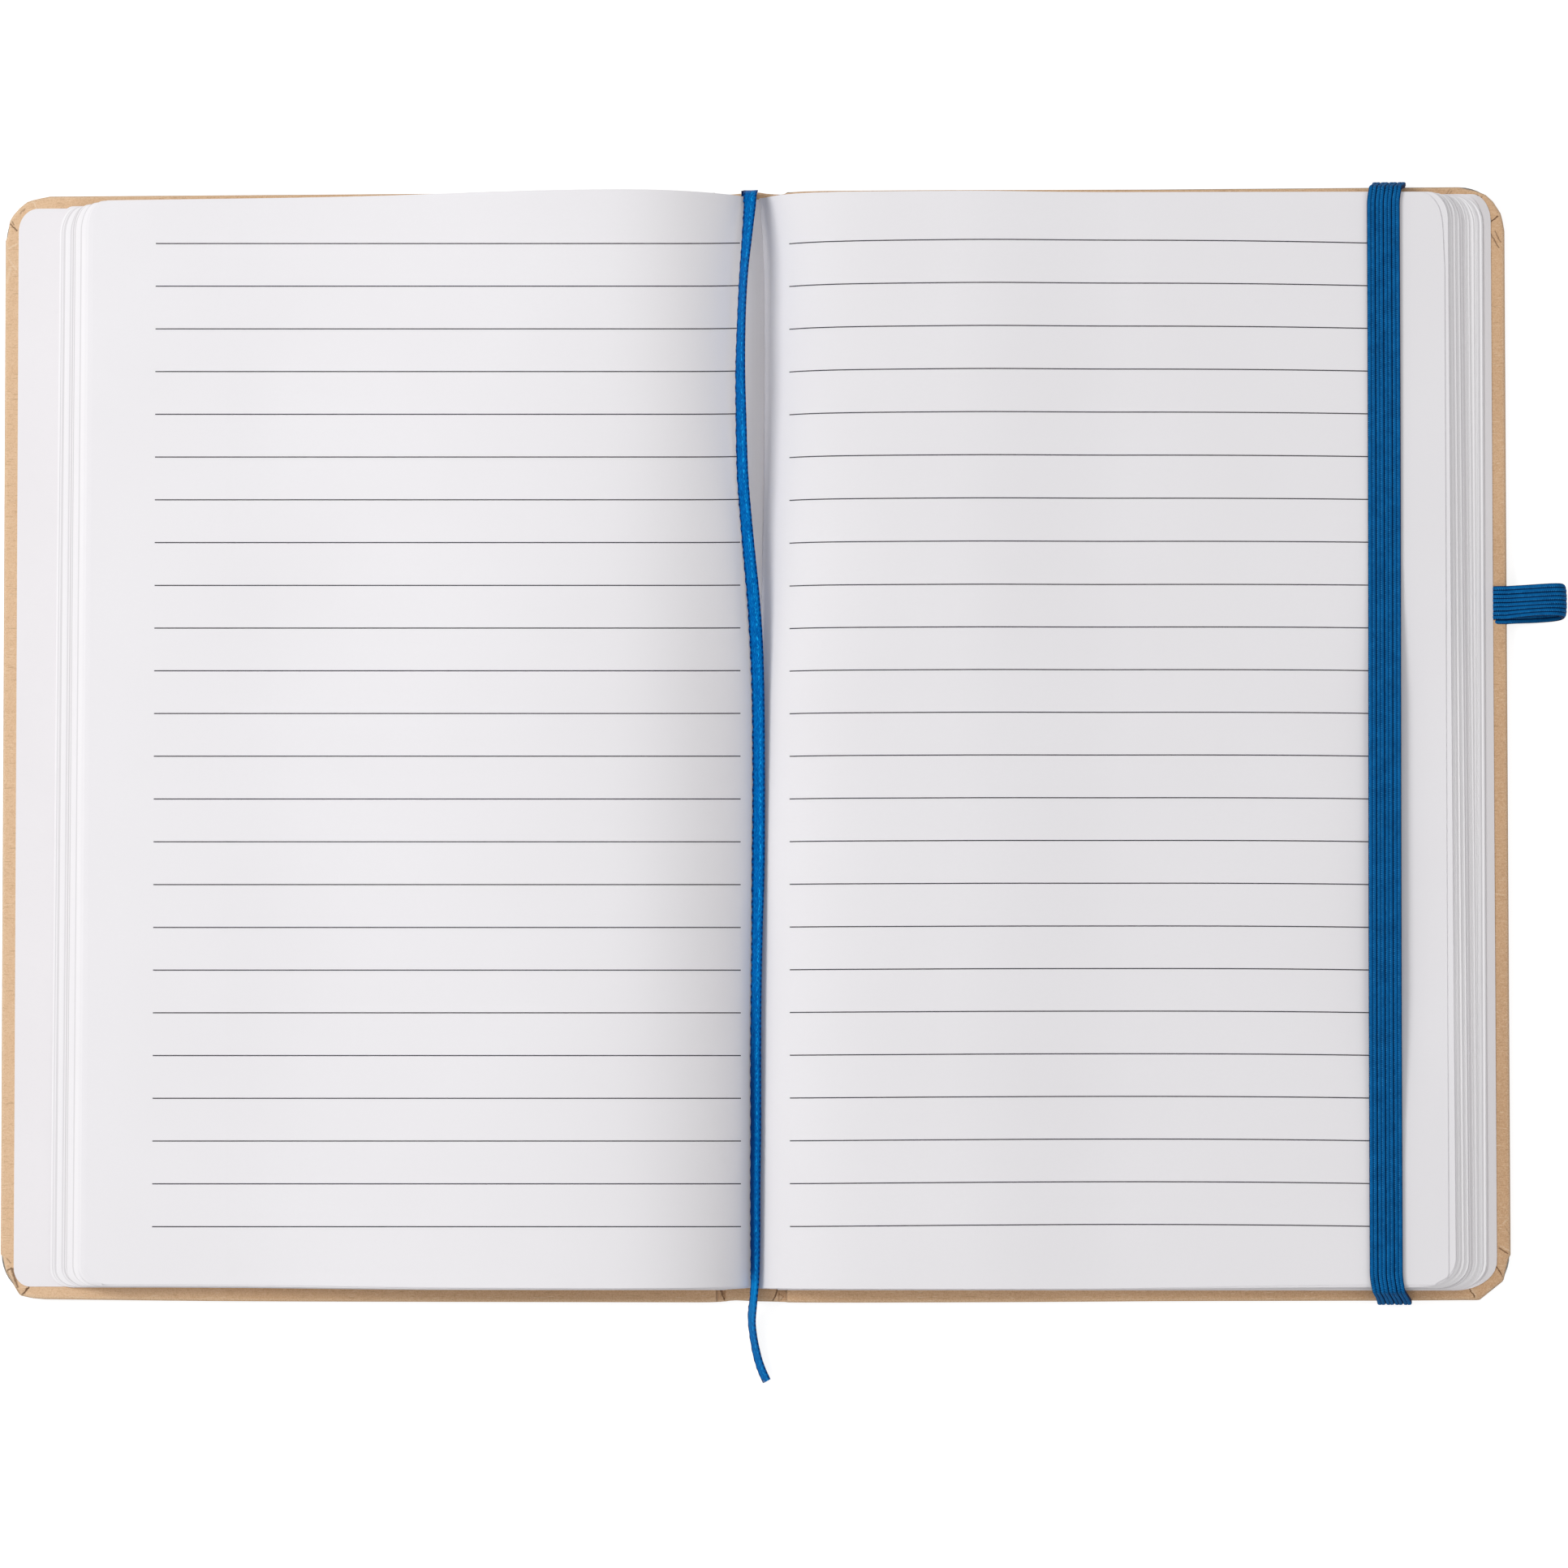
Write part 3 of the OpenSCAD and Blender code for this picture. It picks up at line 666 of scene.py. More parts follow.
# The ribbon's middle line: mm right of the fold, place along the book, height and roll. The start's and
# end's places are mm past the pages' head and tail; the run's are shares of the pages' half-height, and
# its heights are over what it lies on
ribbon_start = [(-1.1, 0, 0.5, 0), (-1.1, 0.7, 0.5, 0), (-1.1, 1.1, 1.2, 0), (-1.1, 1.1, 2.2, 0)]
ribbon_run = [
    (-1.1, 1.006, -0.2, 10), (-1.2, 0.995, 0.6, 20), (-1.2, 0.975, 1.0, 30),
    (-1.6, 0.92, 1.8, 42), (-2.2, 0.85, 2.1, 52), (-2.6, 0.77, 2.0, 53),
    (-2.8, 0.675, 2.0, 46), (-2.7, 0.59, 1.6, 40), (-2.5, 0.49, 0.9, 36),
    (-2, 0.415, 0.4, 34), (-1.3, 0.335, 0.4, 30), (-0.6, 0.26, 0.6, 26),
    (-0.1, 0.18, 0.5, 23), (0.2, 0.09, 0.2, 28), (0.3, 0, 0.2, 30),
    (0.3, -0.12, 0.2, 30), (0.2, -0.235, 0.2, 28), (0, -0.35, 0.3, 38),
    (-0.2, -0.47, 0.3, 41), (-0.3, -0.585, 0.4, 40), (-0.3, -0.7, 0.4, 41),
    (-0.4, -0.82, 0.5, 44), (-0.4, -0.915, 0.5, 46), (-0.5, -0.985, 0.5, 52),
    (-0.8, -1.023, 0.1, 58),
]
ribbon_end = [(-1.2, 5.9, 2.3, 56), (-0.9, 9.4, 1.2, 56), (-0.2, 12.9, 0.8, 54),
              (0.6, 15.4, 0.6, 52), (1.6, 17.6, 0.5, 52)]


def ribbon_rest(x, roll, y):
    """Height of the ribbon's middle where it lies on the pages."""
    a = math.radians(roll)
    best = -1e9
    for share in (-1, -0.5, 0, 0.5, 1):
        u = share * RIBBON_W / 2
        z = (page_top(x + u * math.cos(a) - RIBBON_T / 2 * math.sin(a), y)
             + u * math.sin(a) + RIBBON_T / 2 * math.cos(a))
        best = max(best, z)
    return best


# Behind the pages' head the ribbon lies a little further left, so that its fold shows there.
# All along, its right edge is the higher one
route = [(GUTTER_X + x - left, PAGE_MID + PAGE_H / 2 + y, FOLD_Z + z, -roll)
         for (x, y, z, roll), left in zip(ribbon_start, (0.7, 0.65, 0.55, 0.2))]
for x, y, z, roll in ribbon_run:
    y = PAGE_MID + y * PAGE_H / 2
    route.append((GUTTER_X + x, y, ribbon_rest(GUTTER_X + x, -roll, y) + z, -roll))
route += [(GUTTER_X + x, PAGE_MID - PAGE_H / 2 - y, z, -roll) for x, y, z, roll in ribbon_end]


def ribbon_piece():
    line = spline(route, 0.8)
    centre = line[:, :3]
    roll = np.radians(line[:, 3:])
    along, tangent = run_along(centre)
    across = np.array([1.0, 0, 0]) - tangent[:, :1] * tangent
    across /= np.linalg.norm(across, axis=1)[:, None]
    face = np.cross(tangent, across)
    wide_way = across * np.cos(roll) - face * np.sin(roll)
    thick_way = face * np.cos(roll) + across * np.sin(roll)
    u = np.concatenate([np.linspace(1, -1, 13), np.linspace(-1, 1, 13)[1:-1]])
    side = np.where(np.arange(len(u)) < 13, 1, -1)
    length = along[:, None]
    left = length[-1] - length
    tooth = 0.09 * np.sin(2 * math.pi * length / 1.12) * np.where(u < -0.9, 1, np.where(u > 0.9, 0.25, 0))
    cup = 0.05 * np.sin(length / 17.0) * (u * u - 0.5)
    out = side * RIBBON_T / 2 * (0.42 + 0.58 * (1 - np.abs(u) ** 6)) + cup
    # The free end is cut on a slant
    back = np.clip(1 - left / 2.6, 0, None) * 0.12 * (u + 1)
    wide = u * (RIBBON_W / 2 + tooth)
    rings = (centre[:, None] - tangent[:, None] * back[..., None]
             + wide_way[:, None] * wide[..., None] + thick_way[:, None] * out[..., None])
    verts, faces = tube(rings)
    every = np.ones(len(u))
    obj = make(
        "ribbon", verts, faces, satin, "blue_satin", "book", ["ribbon_marker"], 60,
        along=length * every,
        across=np.tile(u * RIBBON_W / 2, len(along)),
        soiled=smooth(0.55, 0.1, left) * smooth(0.45, 0.1, np.abs(u + 0.62)),
        # Painted shade where the end is turned under at the head
        folded=smooth(4.2, 2.6, length) * every,
        # Painted shade on the left part, down in the gutter
        shaded=smooth(150, 178, length) * smooth(212.5, 209, length) * (0.2 + 0.8 * smooth(0.2, -0.35, u)),
        # Painted light on the free end
        free=smooth(209, 213, length) * (1 - 0.7 * smooth(216, 223, length)) * every)
    path = (centre[::4] / 1000).tolist()
    path.append((centre[-1] / 1000).tolist())


ribbon_piece()

# ---------------------------------------------------------------- kraft wrap


def wrap_top(x):
    x = np.abs(x)
    z = SPINE_TOP + (GAP_TOP - SPINE_TOP) * smooth(4.88, 5.3, x)
    return z + (COVER_TOP - GAP_TOP) * smooth(6.3, 6.75, x)


def wrap_bottom(x):
    x = np.abs(x)
    return GROOVE_D * (smooth(4.7, 5.35, x) - smooth(6.35, 7.0, x))


def end_inset(x, head):
    """How far the spine panel and its folds draw in from the covers' head or tail."""
    places = [-13, -9, -6.2, -5.0, -3.6, -2, 0, 1.6, 3.4, 4.6, 5.8, 7.2, 9, 13]
    if head:
        inset = [0, 0.08, 0.30, 0.44, 0.50, 0.28, 0.10, 0.14, 0.42, 0.52, 0.46, 0.26, 0.08, 0]
    else:
        inset = [0, 0.0, 0.06, 0.16, 0.38, 0.34, 0.22, 0.18, 0.15, 0.12, 0.08, 0.02, 0, 0]
    t = np.interp(x, places, np.arange(len(places)))
    i = np.clip(t.astype(int), 0, len(places) - 2)
    u = t - i
    values = np.array(inset)
    folds = values[i] + (values[i + 1] - values[i]) * u * u * (3 - 2 * u)
    # The covers' edges bow a little
    if head:
        return folds + np.interp(x, [30, 60, 75, 130], [0, 0.13, 0.2, 0.18])
    return folds - np.interp(x, [-134, -112, -97, -66, -20, 20, 40, 56, 71, 86, 123, 134],
                             [0, 0.24, 0.36, 0.44, 0.5, 0.54, 0.47, 0.4, 0.27, 0.2, 0.1, 0])


# The covers' corners aren't quite round: angle from the fore-edge's side, and share of the radius
CORNER_SHAPES = {
    (1, 1): [(0, 1), (14.5, 0.992), (22.7, 1.004), (40.5, 1.008), (53.8, 1.012), (67.5, 0.988),
             (83.2, 0.98), (90, 1)],
    (1, -1): [(-3, 1), (34.7, 1.016), (72.9, 1.046), (81.8, 1.012), (90, 1)],
    (-1, 1): [(0, 0.99), (8.4, 0.968), (26.1, 1.010), (34.9, 1.013), (47.7, 1.010), (59.8, 1.02),
              (69.6, 0.994), (80, 0.983), (90, 1)],
    (-1, -1): [(-5, 1), (24.8, 0.970), (58.5, 1.076), (73.7, 1.016), (90, 1)],
}


def shape_corners(p):
    """Move points near the covers' corners to the corners' real, slightly faceted outline."""
    out = p.copy()
    for (sx, sy), marks in CORNER_SHAPES.items():
        dx = sx * p[..., 0] - (EDGE_X - COVER_R)
        dy = sy * p[..., 1] - (COVER_H / 2 - COVER_R)
        there = (dx > 0) & (dy > 0)
        ang = np.degrees(np.arctan2(dy[there], dx[there]))
        dist = np.hypot(dx[there], dy[there]) / COVER_R
        share = np.ones(len(ang))
        for (a0, r0), (a1, r1) in zip(marks[:-1], marks[1:]):
            # A straight line between two marks of the outline
            part = (ang >= a0) & (ang <= a1)
            t, full = np.radians(ang[part] - a0), math.radians(a1 - a0)
            share[part] = r0 * r1 * math.sin(full) / (r0 * np.sin(t) + r1 * np.sin(full - t))
        scale = 1 + (share - 1) * smooth(0.35, 0.9, dist)
        out[there, 0] = sx * (EDGE_X - COVER_R + dx[there] * scale)
        out[there, 1] = sy * (COVER_H / 2 - COVER_R + dy[there] * scale)
    return out


# Shallow dents along the creases at the corners and spine: place, direction, length, width, depth
PLEATS = [
    (137.7, 102.6, 70, 1.2, 0.50, 0.10), (140.4, 98.5, 37, 1.4, 0.45, 0.12),
    (141.1, -95.7, -30, 1.4, 0.45, 0.08), (140.5, -99.7, -58, 1.4, 0.45, 0.10),
    (135.2, -103.5, -60, 1.4, 0.45, 0.10),
    (-136.9, 103.3, -60, 1.2, 0.50, 0.08), (-140.9, 99.1, -45, 1.4, 0.50, 0.10),
    (-141.0, 95.5, 28, 1.4, 0.50, 0.06),
    (-140.6, -99.3, 25, 1.0, 0.50, 0.12), (-139.7, -101.0, -72, 2.4, 0.55, 0.16),
    (-137.6, -103.4, -130, 1.4, 0.55, 0.14),
    (-5.55, -104.0, -74, 1.3, 0.40, 0.16), (4.45, -104.1, 68, 1.3, 0.38, 0.14),
    (5.5, -104.2, 40, 0.8, 0.55, -0.10), (-6.1, 104.8, 90, 0.6, 0.38, 0.12),
    (5.67, 104.5, 98, 0.6, 0.38, 0.12),
]
# Glue wrinkles in the front pastedown's tail corner, in the same way
WRINKLES = [(-137.0, -95.5, 38, 4, 0.6, 0.07), (-135.6, -98.6, 48, 4, 0.6, 0.08),
            (-134.4, -97.0, 20, 5, 0.7, 0.05)]


def dents(marks, x, y):
    """How deep or high these marks are at a point."""
    deep = np.zeros(np.shape(x))
    for px, py, turn, length, width, depth in marks:
        c, s = math.cos(math.radians(turn)), math.sin(math.radians(turn))
        u = (x - px) * c + (y - py) * s
        v = -(x - px) * s + (y - py) * c
        deep = deep + depth * np.exp(-(v / width) ** 2) * np.exp(-(u / (length * 0.6)) ** 4)
    return deep


# x of the right half's columns: the first ones stay where they are, the others go in with the fore-edge
FIXED_COLUMNS = [0, 1.5, 3, 4.2, 4.7, 4.88, 5.0, 5.15, 5.3, 5.6, 6.0, 6.3, 6.4, 6.5, 6.6, 6.75, 6.9, 7.1,
                 8, 10, 14, 20, 28, 38, 50, 62, 75, 88, 100]
MOVING_COLUMNS = [107, 113, 118.5, 122.5, 125.5, 127.5, 129.5, 131, 132, 132.8, 133.5, 134]
CORNER_STEPS = 30
# Rows as shares of the half-height
HEAD_ROWS = [1, 0.99, 0.978, 0.964, 0.95, 0.93, 0.9, 0.84, 0.74, 0.6, 0.42, 0.22, 0]
WRAP_ROWS = np.array(HEAD_ROWS + [-v for v in HEAD_ROWS[-2::-1]])[:, None]
EDGE_R = 0.6
EDGE_LOOPS = 7
TOP_INSETS = [0.8, 1.05, 1.3, 1.6, 1.9, 2.25, 2.6, 3.0, 3.5, 4.2, 5.5, 8, 11.5, TURN_IN - 0.1]


def wrap_columns(t):
    """x and half-height of every column at inset t, from left to right."""
    r = max(COVER_R - t, 0.4)
    centre = EDGE_X - t - r
    pivot, last = FIXED_COLUMNS[-1], MOVING_COLUMNS[-1]
    x = FIXED_COLUMNS + [pivot + (v - pivot) * (centre - pivot) / (last - pivot) for v in MOVING_COLUMNS]
    a = math.pi / 2 * (1 - np.arange(1, CORNER_STEPS + 1) / CORNER_STEPS)
    h = np.concatenate([np.full(len(x), COVER_H / 2 - t), COVER_H / 2 - t - r + r * np.sin(a)])
    x = np.concatenate([x, centre + r * np.cos(a)])
    return np.concatenate([-x[:0:-1], x]), np.concatenate([h[:0:-1], h])


def wrap_grid(t, height, lift=0.0):
    """The wrap's outline at inset t, filled with rows and columns at this height."""
    x, h = wrap_columns(t)
    y = WRAP_ROWS * np.where(WRAP_ROWS > 0, h - end_inset(x, True), h - end_inset(x, False))
    x = np.repeat(x[None, :], len(WRAP_ROWS), 0)
    return shape_corners(np.stack([x, y, height(x) + lift], -1))


def edge_loops():
    """Loops over the wrap's rounded edge, from its underside to its top."""
    plain, inner = (rim(wrap_grid(t, np.zeros_like)) for t in (0.0, EDGE_R))
    tall = wrap_top(plain[:, 0]) - wrap_bottom(plain[:, 0])
    r = np.minimum(EDGE_R, tall * 0.49)
    quarter = [math.pi / 2 * i / (EDGE_LOOPS - 1) for i in range(EDGE_LOOPS)]
    shares = [(1 - math.sin(a), (1 - math.cos(a)) * 0.999, 0) for a in quarter]
    shares += [(1 - math.cos(a), math.sin(a) - 1, 1) for a in quarter]
    for inward, rise, from_top in shares:
        p = plain + (inner - plain) * (inward * r / EDGE_R)[:, None]
        p[:, 2] = wrap_bottom(p[:, 0]) + tall * from_top + r * rise
        yield p


def wrap_piece():
    thin = KRAFT_T - 0.02
    loops = list(edge_loops()) + [rim(wrap_grid(t, wrap_top)) for t in TOP_INSETS]
    for n, loop in enumerate(loops[3:], 3):
        deep = dents(PLEATS, loop[:, 0], loop[:, 1])
        out = loop[:, :2] / np.maximum(np.linalg.norm(loop[:, :2], axis=1), 1)[:, None]
        loop[:, 2] -= np.minimum(deep, 0.14)
        if n < 2 * EDGE_LOOPS:
            loop[:, :2] -= out * np.clip(deep, 0, 0.2)[:, None] * 0.5
    # Round the turn-ins' inner edge and back to the underside from within
    loops += [rim(wrap_grid(t, wrap_top, lift)) for t, lift in (
        (TURN_IN, -0.06), (TURN_IN, -thin), (8, -thin), (0.6, -thin), (0.24, -thin - 0.02))]
    loops.append(rim(wrap_grid(0.24, wrap_bottom, thin)))
    bottom = wrap_grid(1.2, wrap_bottom)
    verts = np.concatenate([bottom.reshape(-1, 3), *loops, wrap_grid(0.6, wrap_bottom, thin).reshape(-1, 3)])
    first = np.arange(bottom[..., 0].size).reshape(bottom.shape[:2])
    last = first + len(verts) - first.size
    around = len(loops[0])
    starts = first.size + around * np.arange(len(loops))[:, None]
    chain = [rim(first), *(starts + np.arange(around)), rim(last)]
    faces = [quads(first, TURNED)] + [ring_quads(a, b) for a, b in zip(chain[:-1], chain[1:])] + [quads(last)]
    # The edge is rubbed all round
    worn = np.zeros(len(verts))
    worn[first.size + 2 * around:first.size + (2 * EDGE_LOOPS - 1) * around] = 1
    # Painted shade: the pressed hinge lines are a little darker where the wrap bends
    x = np.abs(verts[:, 0])
    crease = 0.4 * (np.exp(-((x - 5.1) / 0.22) ** 2) + np.exp(-((x - 6.62) / 0.22) ** 2))
    bend_at_hinge(make("kraft_wrap", verts, np.concatenate(faces), kraft, "kraft", None,
                       ["front_wrap", "back_wrap"], 50, crease=crease, worn=worn))


wrap_piece()

# ---------------------------------------------------------------- endpapers

CORNER_ROWS = [0, 0.05, 0.16, 0.34, 0.6, 0.95, 1.4, 2.0, 2.75, 3.7, 4.9, 6.3]


def row_places(tail, head, inner):
    low = [tail + v for v in CORNER_ROWS]
    high = [head - v for v in CORNER_ROWS]
    mid = np.linspace(low[-1], high[-1], inner + 2)[1:-1].tolist()
    return np.array(low + mid + high[::-1])


def corner_inset(y, tail, head, tail_r, head_r):
    """How far a rounded corner takes the fore-edge in at y. Each radius is across and along."""
    out = np.zeros(len(y))
    for (rx, ry), away in ((tail_r, y - tail), (head_r, head - y)):
        u = np.clip(away / ry, 0, 1)
        out = np.maximum(out, rx * (1 - np.sqrt(np.clip(1 - (1 - u) ** 2, 0, 1))))
    return out


def sheet_grid(y, stations, end, inset, side, last=3):
    """x of a sheet's columns, row by row: stations near the spine and then out to its fore-edge."""
    reach = (end - inset)[:, None] - stations[-1]
    outer = stations[-1] + reach * (np.arange(last) + 1) / last
    return side * np.concatenate([np.tile(stations, (len(y), 1)), outer], 1)


def endpaper(side, end, tail, head, inner, stations, tail_r, head_r, last=3):
    """x and y of the points of one endpaper leaf, which has rounded corners."""
    y = row_places(tail, head, inner)
    x = sheet_grid(y, stations, end, corner_inset(y, tail, head, tail_r, head_r), side, last)
    return x, np.repeat(y[:, None], x.shape[1], 1)


def sheet_slab(x, y, z, thick):
    return np.stack([x, y, z], -1), np.stack([x, y, z - thick], -1)


def pastedown(side, *outline):
    stations = [6.95, 9, 12, 20, 40, 70, 100, 115, 122, 126, 127, 127.6, 128.2, 129.5, 131]
    x, y = endpaper(side, 139.9, *outline[:2], 14, stations, *outline[2:], 5)
    # Over the board the sheet lies a little lower than over the kraft turned in round it
    window = (1 - smooth(126.6, 128.2, np.abs(x))) * (1 - smooth(89.0, 90.6, np.abs(y)))
    wave = np.where(np.abs(x) > 110, 0.02, 0.008) * ripple(x, y, 31 + side, 4.0)
    z = COVER_TOP + ENDPAPER_T - 0.10 * window + wave
    if side < 0:
        z = z + dents(WRINKLES, x, y)
    return sheet_slab(x, y, z, ENDPAPER_T)


def flyleaf(side, end, *outline):
    x, y = endpaper(side, end, *outline[:2], 8, [4.95, 8, 16, 40, 80, 110, 124], *outline[2:])
    return sheet_slab(x, y, FLYLEAF_Z + ENDPAPER_T + 0 * x, ENDPAPER_T - 0.02)


def endpaper_fold(x, z, thick):
    """The strip between an endpaper's two leaves, from the flyleaf out."""
    xx, yy = np.meshgrid(x, np.linspace(PAGE_TAIL + 0.3, PAGE_HEAD - 0.3, 9))
    return sheet_slab(xx, yy, np.repeat([z], 9, 0), thick)


def endpapers():
    verts, faces = slab(*pastedown(-1, -102.6, 102.6, (3.2, 3.5), (3.8, 4.4)))
    make("front_endpaper", verts, faces, end_paper, "endpaper", "front_cover", ["front_pastedown"])
    verts, faces = slab(*flyleaf(-1, 132.4, PAGE_TAIL + 0.25, PAGE_HEAD - 0.6, (3.8, 3.4), (3.0, 5.2)))
    make("front_flyleaf_sheet", verts, faces, end_paper, "endpaper", "book", ["front_flyleaf"])
    # The back endpaper's fold lies still, so its two leaves and the fold between them are one piece
    verts, faces = join_slabs([
        pastedown(1, -103.2, 103.4, (8, 5.5), (3.6, 5.2)),
        flyleaf(1, 138.2, PAGE_TAIL - 0.3, PAGE_HEAD - 0.2, (7, 5), (3.6, 5.2)),
        endpaper_fold([4.9, 5.6, 6.4, 7.4], [2.36, 2.33, 2.25, 2.2], 0.13)])
    make("back_endpaper_sheet", verts, faces, end_paper, "endpaper", "book", ["back_endpaper"])
    verts, faces = slab(*endpaper_fold([-4.9, -5.2, -5.5, -5.8, -6.1, -6.4, -6.7, -7.2, -8.2],
                                       [2.36, 2.35, 2.32, 2.29, 2.26, 2.235, 2.22, 2.21, 2.2], 0.1))
    bend_at_hinge(make("front_endpaper_fold", verts, faces, end_paper, "endpaper", None))


endpapers()

# ---------------------------------------------------------------- pages


def leaf_root(half, k):
    """How far out leaf k leaves the fold. Below the top few, leaves of a section keep together."""
    share = (k + 1) / LEAVES
    section = (k // SECTION_LEAVES + 0.5) * SECTION_LEAVES / LEAVES
    if k <= LEAVES - 5:
        share = 0.75 * section + 0.25 * share
    return (1 - share) * half["spread"]


def leaf(half, k, fine=False):
    """Upper and lower points of leaf k, counted from the lowest up, as grids of rows by columns."""
    side, crest, flat = half["side"], half["crest"], half["flat"]
    share = (k + 1) / LEAVES
    low = 1 - share
    root = leaf_root(half, k)
    # Each leaf is cut a little differently
    r = np.random.default_rng(1000 + k + (500 if side > 0 else 0))
    head = PAGE_HEAD + 0.2 - half["head_step"] * low ** 1.5 + r.uniform(-0.08, 0.05)
    inward = 0.8 if k >= LEAVES - 2 else 0.55 - half["tail_step"] * low
    tail = PAGE_TAIL + inward + r.uniform(-0.07, 0.07)
    end = table(half["ends"], k) + r.uniform(-0.06, 0.06)
    if 1 < k < 43 and r.random() < 0.2:
        # Now and then a leaf sticks out further than its neighbours
        end += r.uniform(0.1, 0.24)
    head_r = [r.uniform(*span) for span in half["head_r"]]
    tail_r = [r.uniform(*span) for span in half["tail_r"]]
    y = row_places(tail, head, 23 if k >= LEAVES - 5 else half["rows"])
    inset = corner_inset(y, tail, head, tail_r, head_r)
    if side > 0 and k >= LEAVES - 2:
        # The right half's upper leaves are cut off at a slant at both corners
        inset = np.maximum(table(TAIL_CUT, y - tail), table(HEAD_CUT, head - y))
    inset = inset - side * table(half["lean"], k) * y
    dive_steps, slope_steps = (25, 25) if fine else (half["dive_steps"], 13)
    dive = root + (crest - root) * np.linspace(0, 1, dive_steps) ** 1.5
    slope = crest + (flat - crest) * np.linspace(0, 1, slope_steps)[1:]
    out = [BAND_DIP_D, 120.0]
    if fine:
        out = [flat + (BAND_DIP_D - flat) * t for t in (0.33, 0.66, 0.78, 0.89, 1)]
        out += [114.3, 116.5, 118.3, 120, 123.5]
    x = sheet_grid(y, np.concatenate([dive, slope, out]) + side * GUTTER_X, end, inset, side)
    d = side * (x - GUTTER_X)
    y = np.repeat(y[:, None], x.shape[1], 1)
    # Seen from above, the leaves' heads and tails aren't quite straight
    if side < 0:
        head_dip = 0.28 * smooth(-92, -60, x) + 0.28 * np.exp(-(d / 2.5) ** 2)
        tail_dip = 0.42 * smooth(-110, -55, x)
    else:
        head_dip = 0.1 * smooth(40, 60, x) + 0.3 * np.exp(-(d / 3.0) ** 2)
        tail_dip = 0.8 * (tail - PAGE_TAIL + 0.22) * smooth(115, 60, x) - 0.1 * smooth(105, 90, x)
    head_dip = head_dip + 0.45 * (x / 125) ** 2
    y = y - np.where(y > 0, head_dip * y / PAGE_HEAD, tail_dip * y / PAGE_TAIL)
    z = leaf_height(half, share, root, d, y)
    x = x + fold_bend(x, y)
    # At the gutter each leaf turns down to its fold in the spine
    z = np.concatenate([np.full((len(y), 1), FOLD_Z + 0.06), z[:, :1] - 0.35, z], 1)
    x = np.concatenate([x[:, :1] - side * np.array([[0.22, 0.12]]), x], 1)
    y = np.concatenate([y[:, :2], y], 1)
    # The underside is set off square to the sheet
    gx, gz = np.gradient(x, axis=1), np.gradient(z, axis=1)
    off = LEAF_T / np.hypot(gx, gz)
    return np.stack([x, y, z], -1), np.stack([x + gz * off * side, y, z - np.abs(gx) * off], -1)


def leaves(half, name):
    pairs = [leaf(half, k) for k in range(LEAVES - 1)]
    verts, faces = join_slabs(pairs)
    # Painted light and shade: the fan's leaves are paler in small groups, and a few are darker as in the
    # shade of a gap
    r = np.random.default_rng(80 + half["side"])
    group = np.repeat(r.uniform(0.65, 1.0, 16), 3)[:LEAVES - 1] * half["tone"]
    tone = group + r.uniform(-0.15, 0.15, LEAVES - 1)
    gap = r.permutation(LEAVES - 9)[:8] + 2
    tone[gap] = -r.uniform(0.2, 0.8, len(gap))
    tone[LEAVES - 6:] = 0.1
    tone = np.repeat(tone, [2 * top[..., 0].size for top, bottom in pairs])
    make(name, verts, faces, page_paper, "pages", "book", ["page_block"], 30, tone=tone)
    top, bottom = leaf(half, LEAVES - 1, fine=True)
    verts, faces = slab(top, bottom)
    # Painted shade: down in the fold under the ribbon the paper is a little grey
    x, y, z = verts.T
    tone = -0.7 * np.exp(-((x - GUTTER_X - fold_bend(GUTTER_X, y) + 1.4) / 2.4) ** 2) * smooth(15, 45, y)
    make(name + "_top", verts, faces, page_paper, "pages", sharp=30, tone=tone)
    return top


left_top = leaves(LEFT, "left_leaves")
right_top = leaves(RIGHT, "right_leaves")


def top_height(grid, x, y):
    """Height of a top leaf's own mesh at a point, between its rows and columns."""
    rows_y = grid[:, 0, 1]
    i = int(np.clip(np.searchsorted(rows_y, y) - 1, 0, len(rows_y) - 2))
    t = (y - rows_y[i]) / (rows_y[i + 1] - rows_y[i])
    out = []
    for r in (i, i + 1):
        xs, zs = grid[r, 2:, 0], grid[r, 2:, 2]
        if xs[0] > xs[-1]:
            xs, zs = xs[::-1], zs[::-1]
        out.append(np.interp(x, xs, zs))
    return out[0] * (1 - t) + out[1] * t


def ruled_lines(name, grid, x0, x1, replaces, bend):
    """Ink lines laid on a top leaf, with points wherever the leaf has columns."""
    low, high = min(x0, x1), max(x0, x1)
    stations = grid[grid.shape[0] // 2, 2:, 0]
    stations = stations[(stations > low) & (stations < high)]
    xs = np.sort(np.concatenate([np.linspace(low, high, 40), stations]))
    pairs = []
    for i in range(LINES):
        ys = bend(xs, LINE_FIRST - i * LINE_PITCH, i)
        rows = []
        for off in (LINE_W / 2, -LINE_W / 2):
            z = [top_height(grid, x, y + off) for x, y in zip(xs, ys)]
            rows.append(np.stack([xs, ys + off, z], -1))
        pairs.append((np.array(rows) + [0, 0, LINE_RISE], np.array(rows) - [0, 0, LINE_SINK]))
    verts, faces = join_slabs(pairs)
    make(name, verts, faces, ink, "ruled_ink", "book", replaces, 30)


def straight_for_eye(xs, y0, i):
    """The left lines look straight from above the open book, over the page's curve."""
    z = page_curve(GUTTER_X - xs, LEFT["crest"], LEFT["flat"], LEFT["bulge"], LEFT["power"])
    level = np.interp(i, [0, 8, 16, 23], [0.16, -0.22, -0.31, -0.11])
    rise = np.interp(i, [0, 8, 16, 23], [0.78, 0.50, 0.23, -0.01])
    return y0 - (y0 - EYE[1]) * (z - RIM_Z) / (EYE[2] - RIM_Z) + level + rise * -xs / 112.8


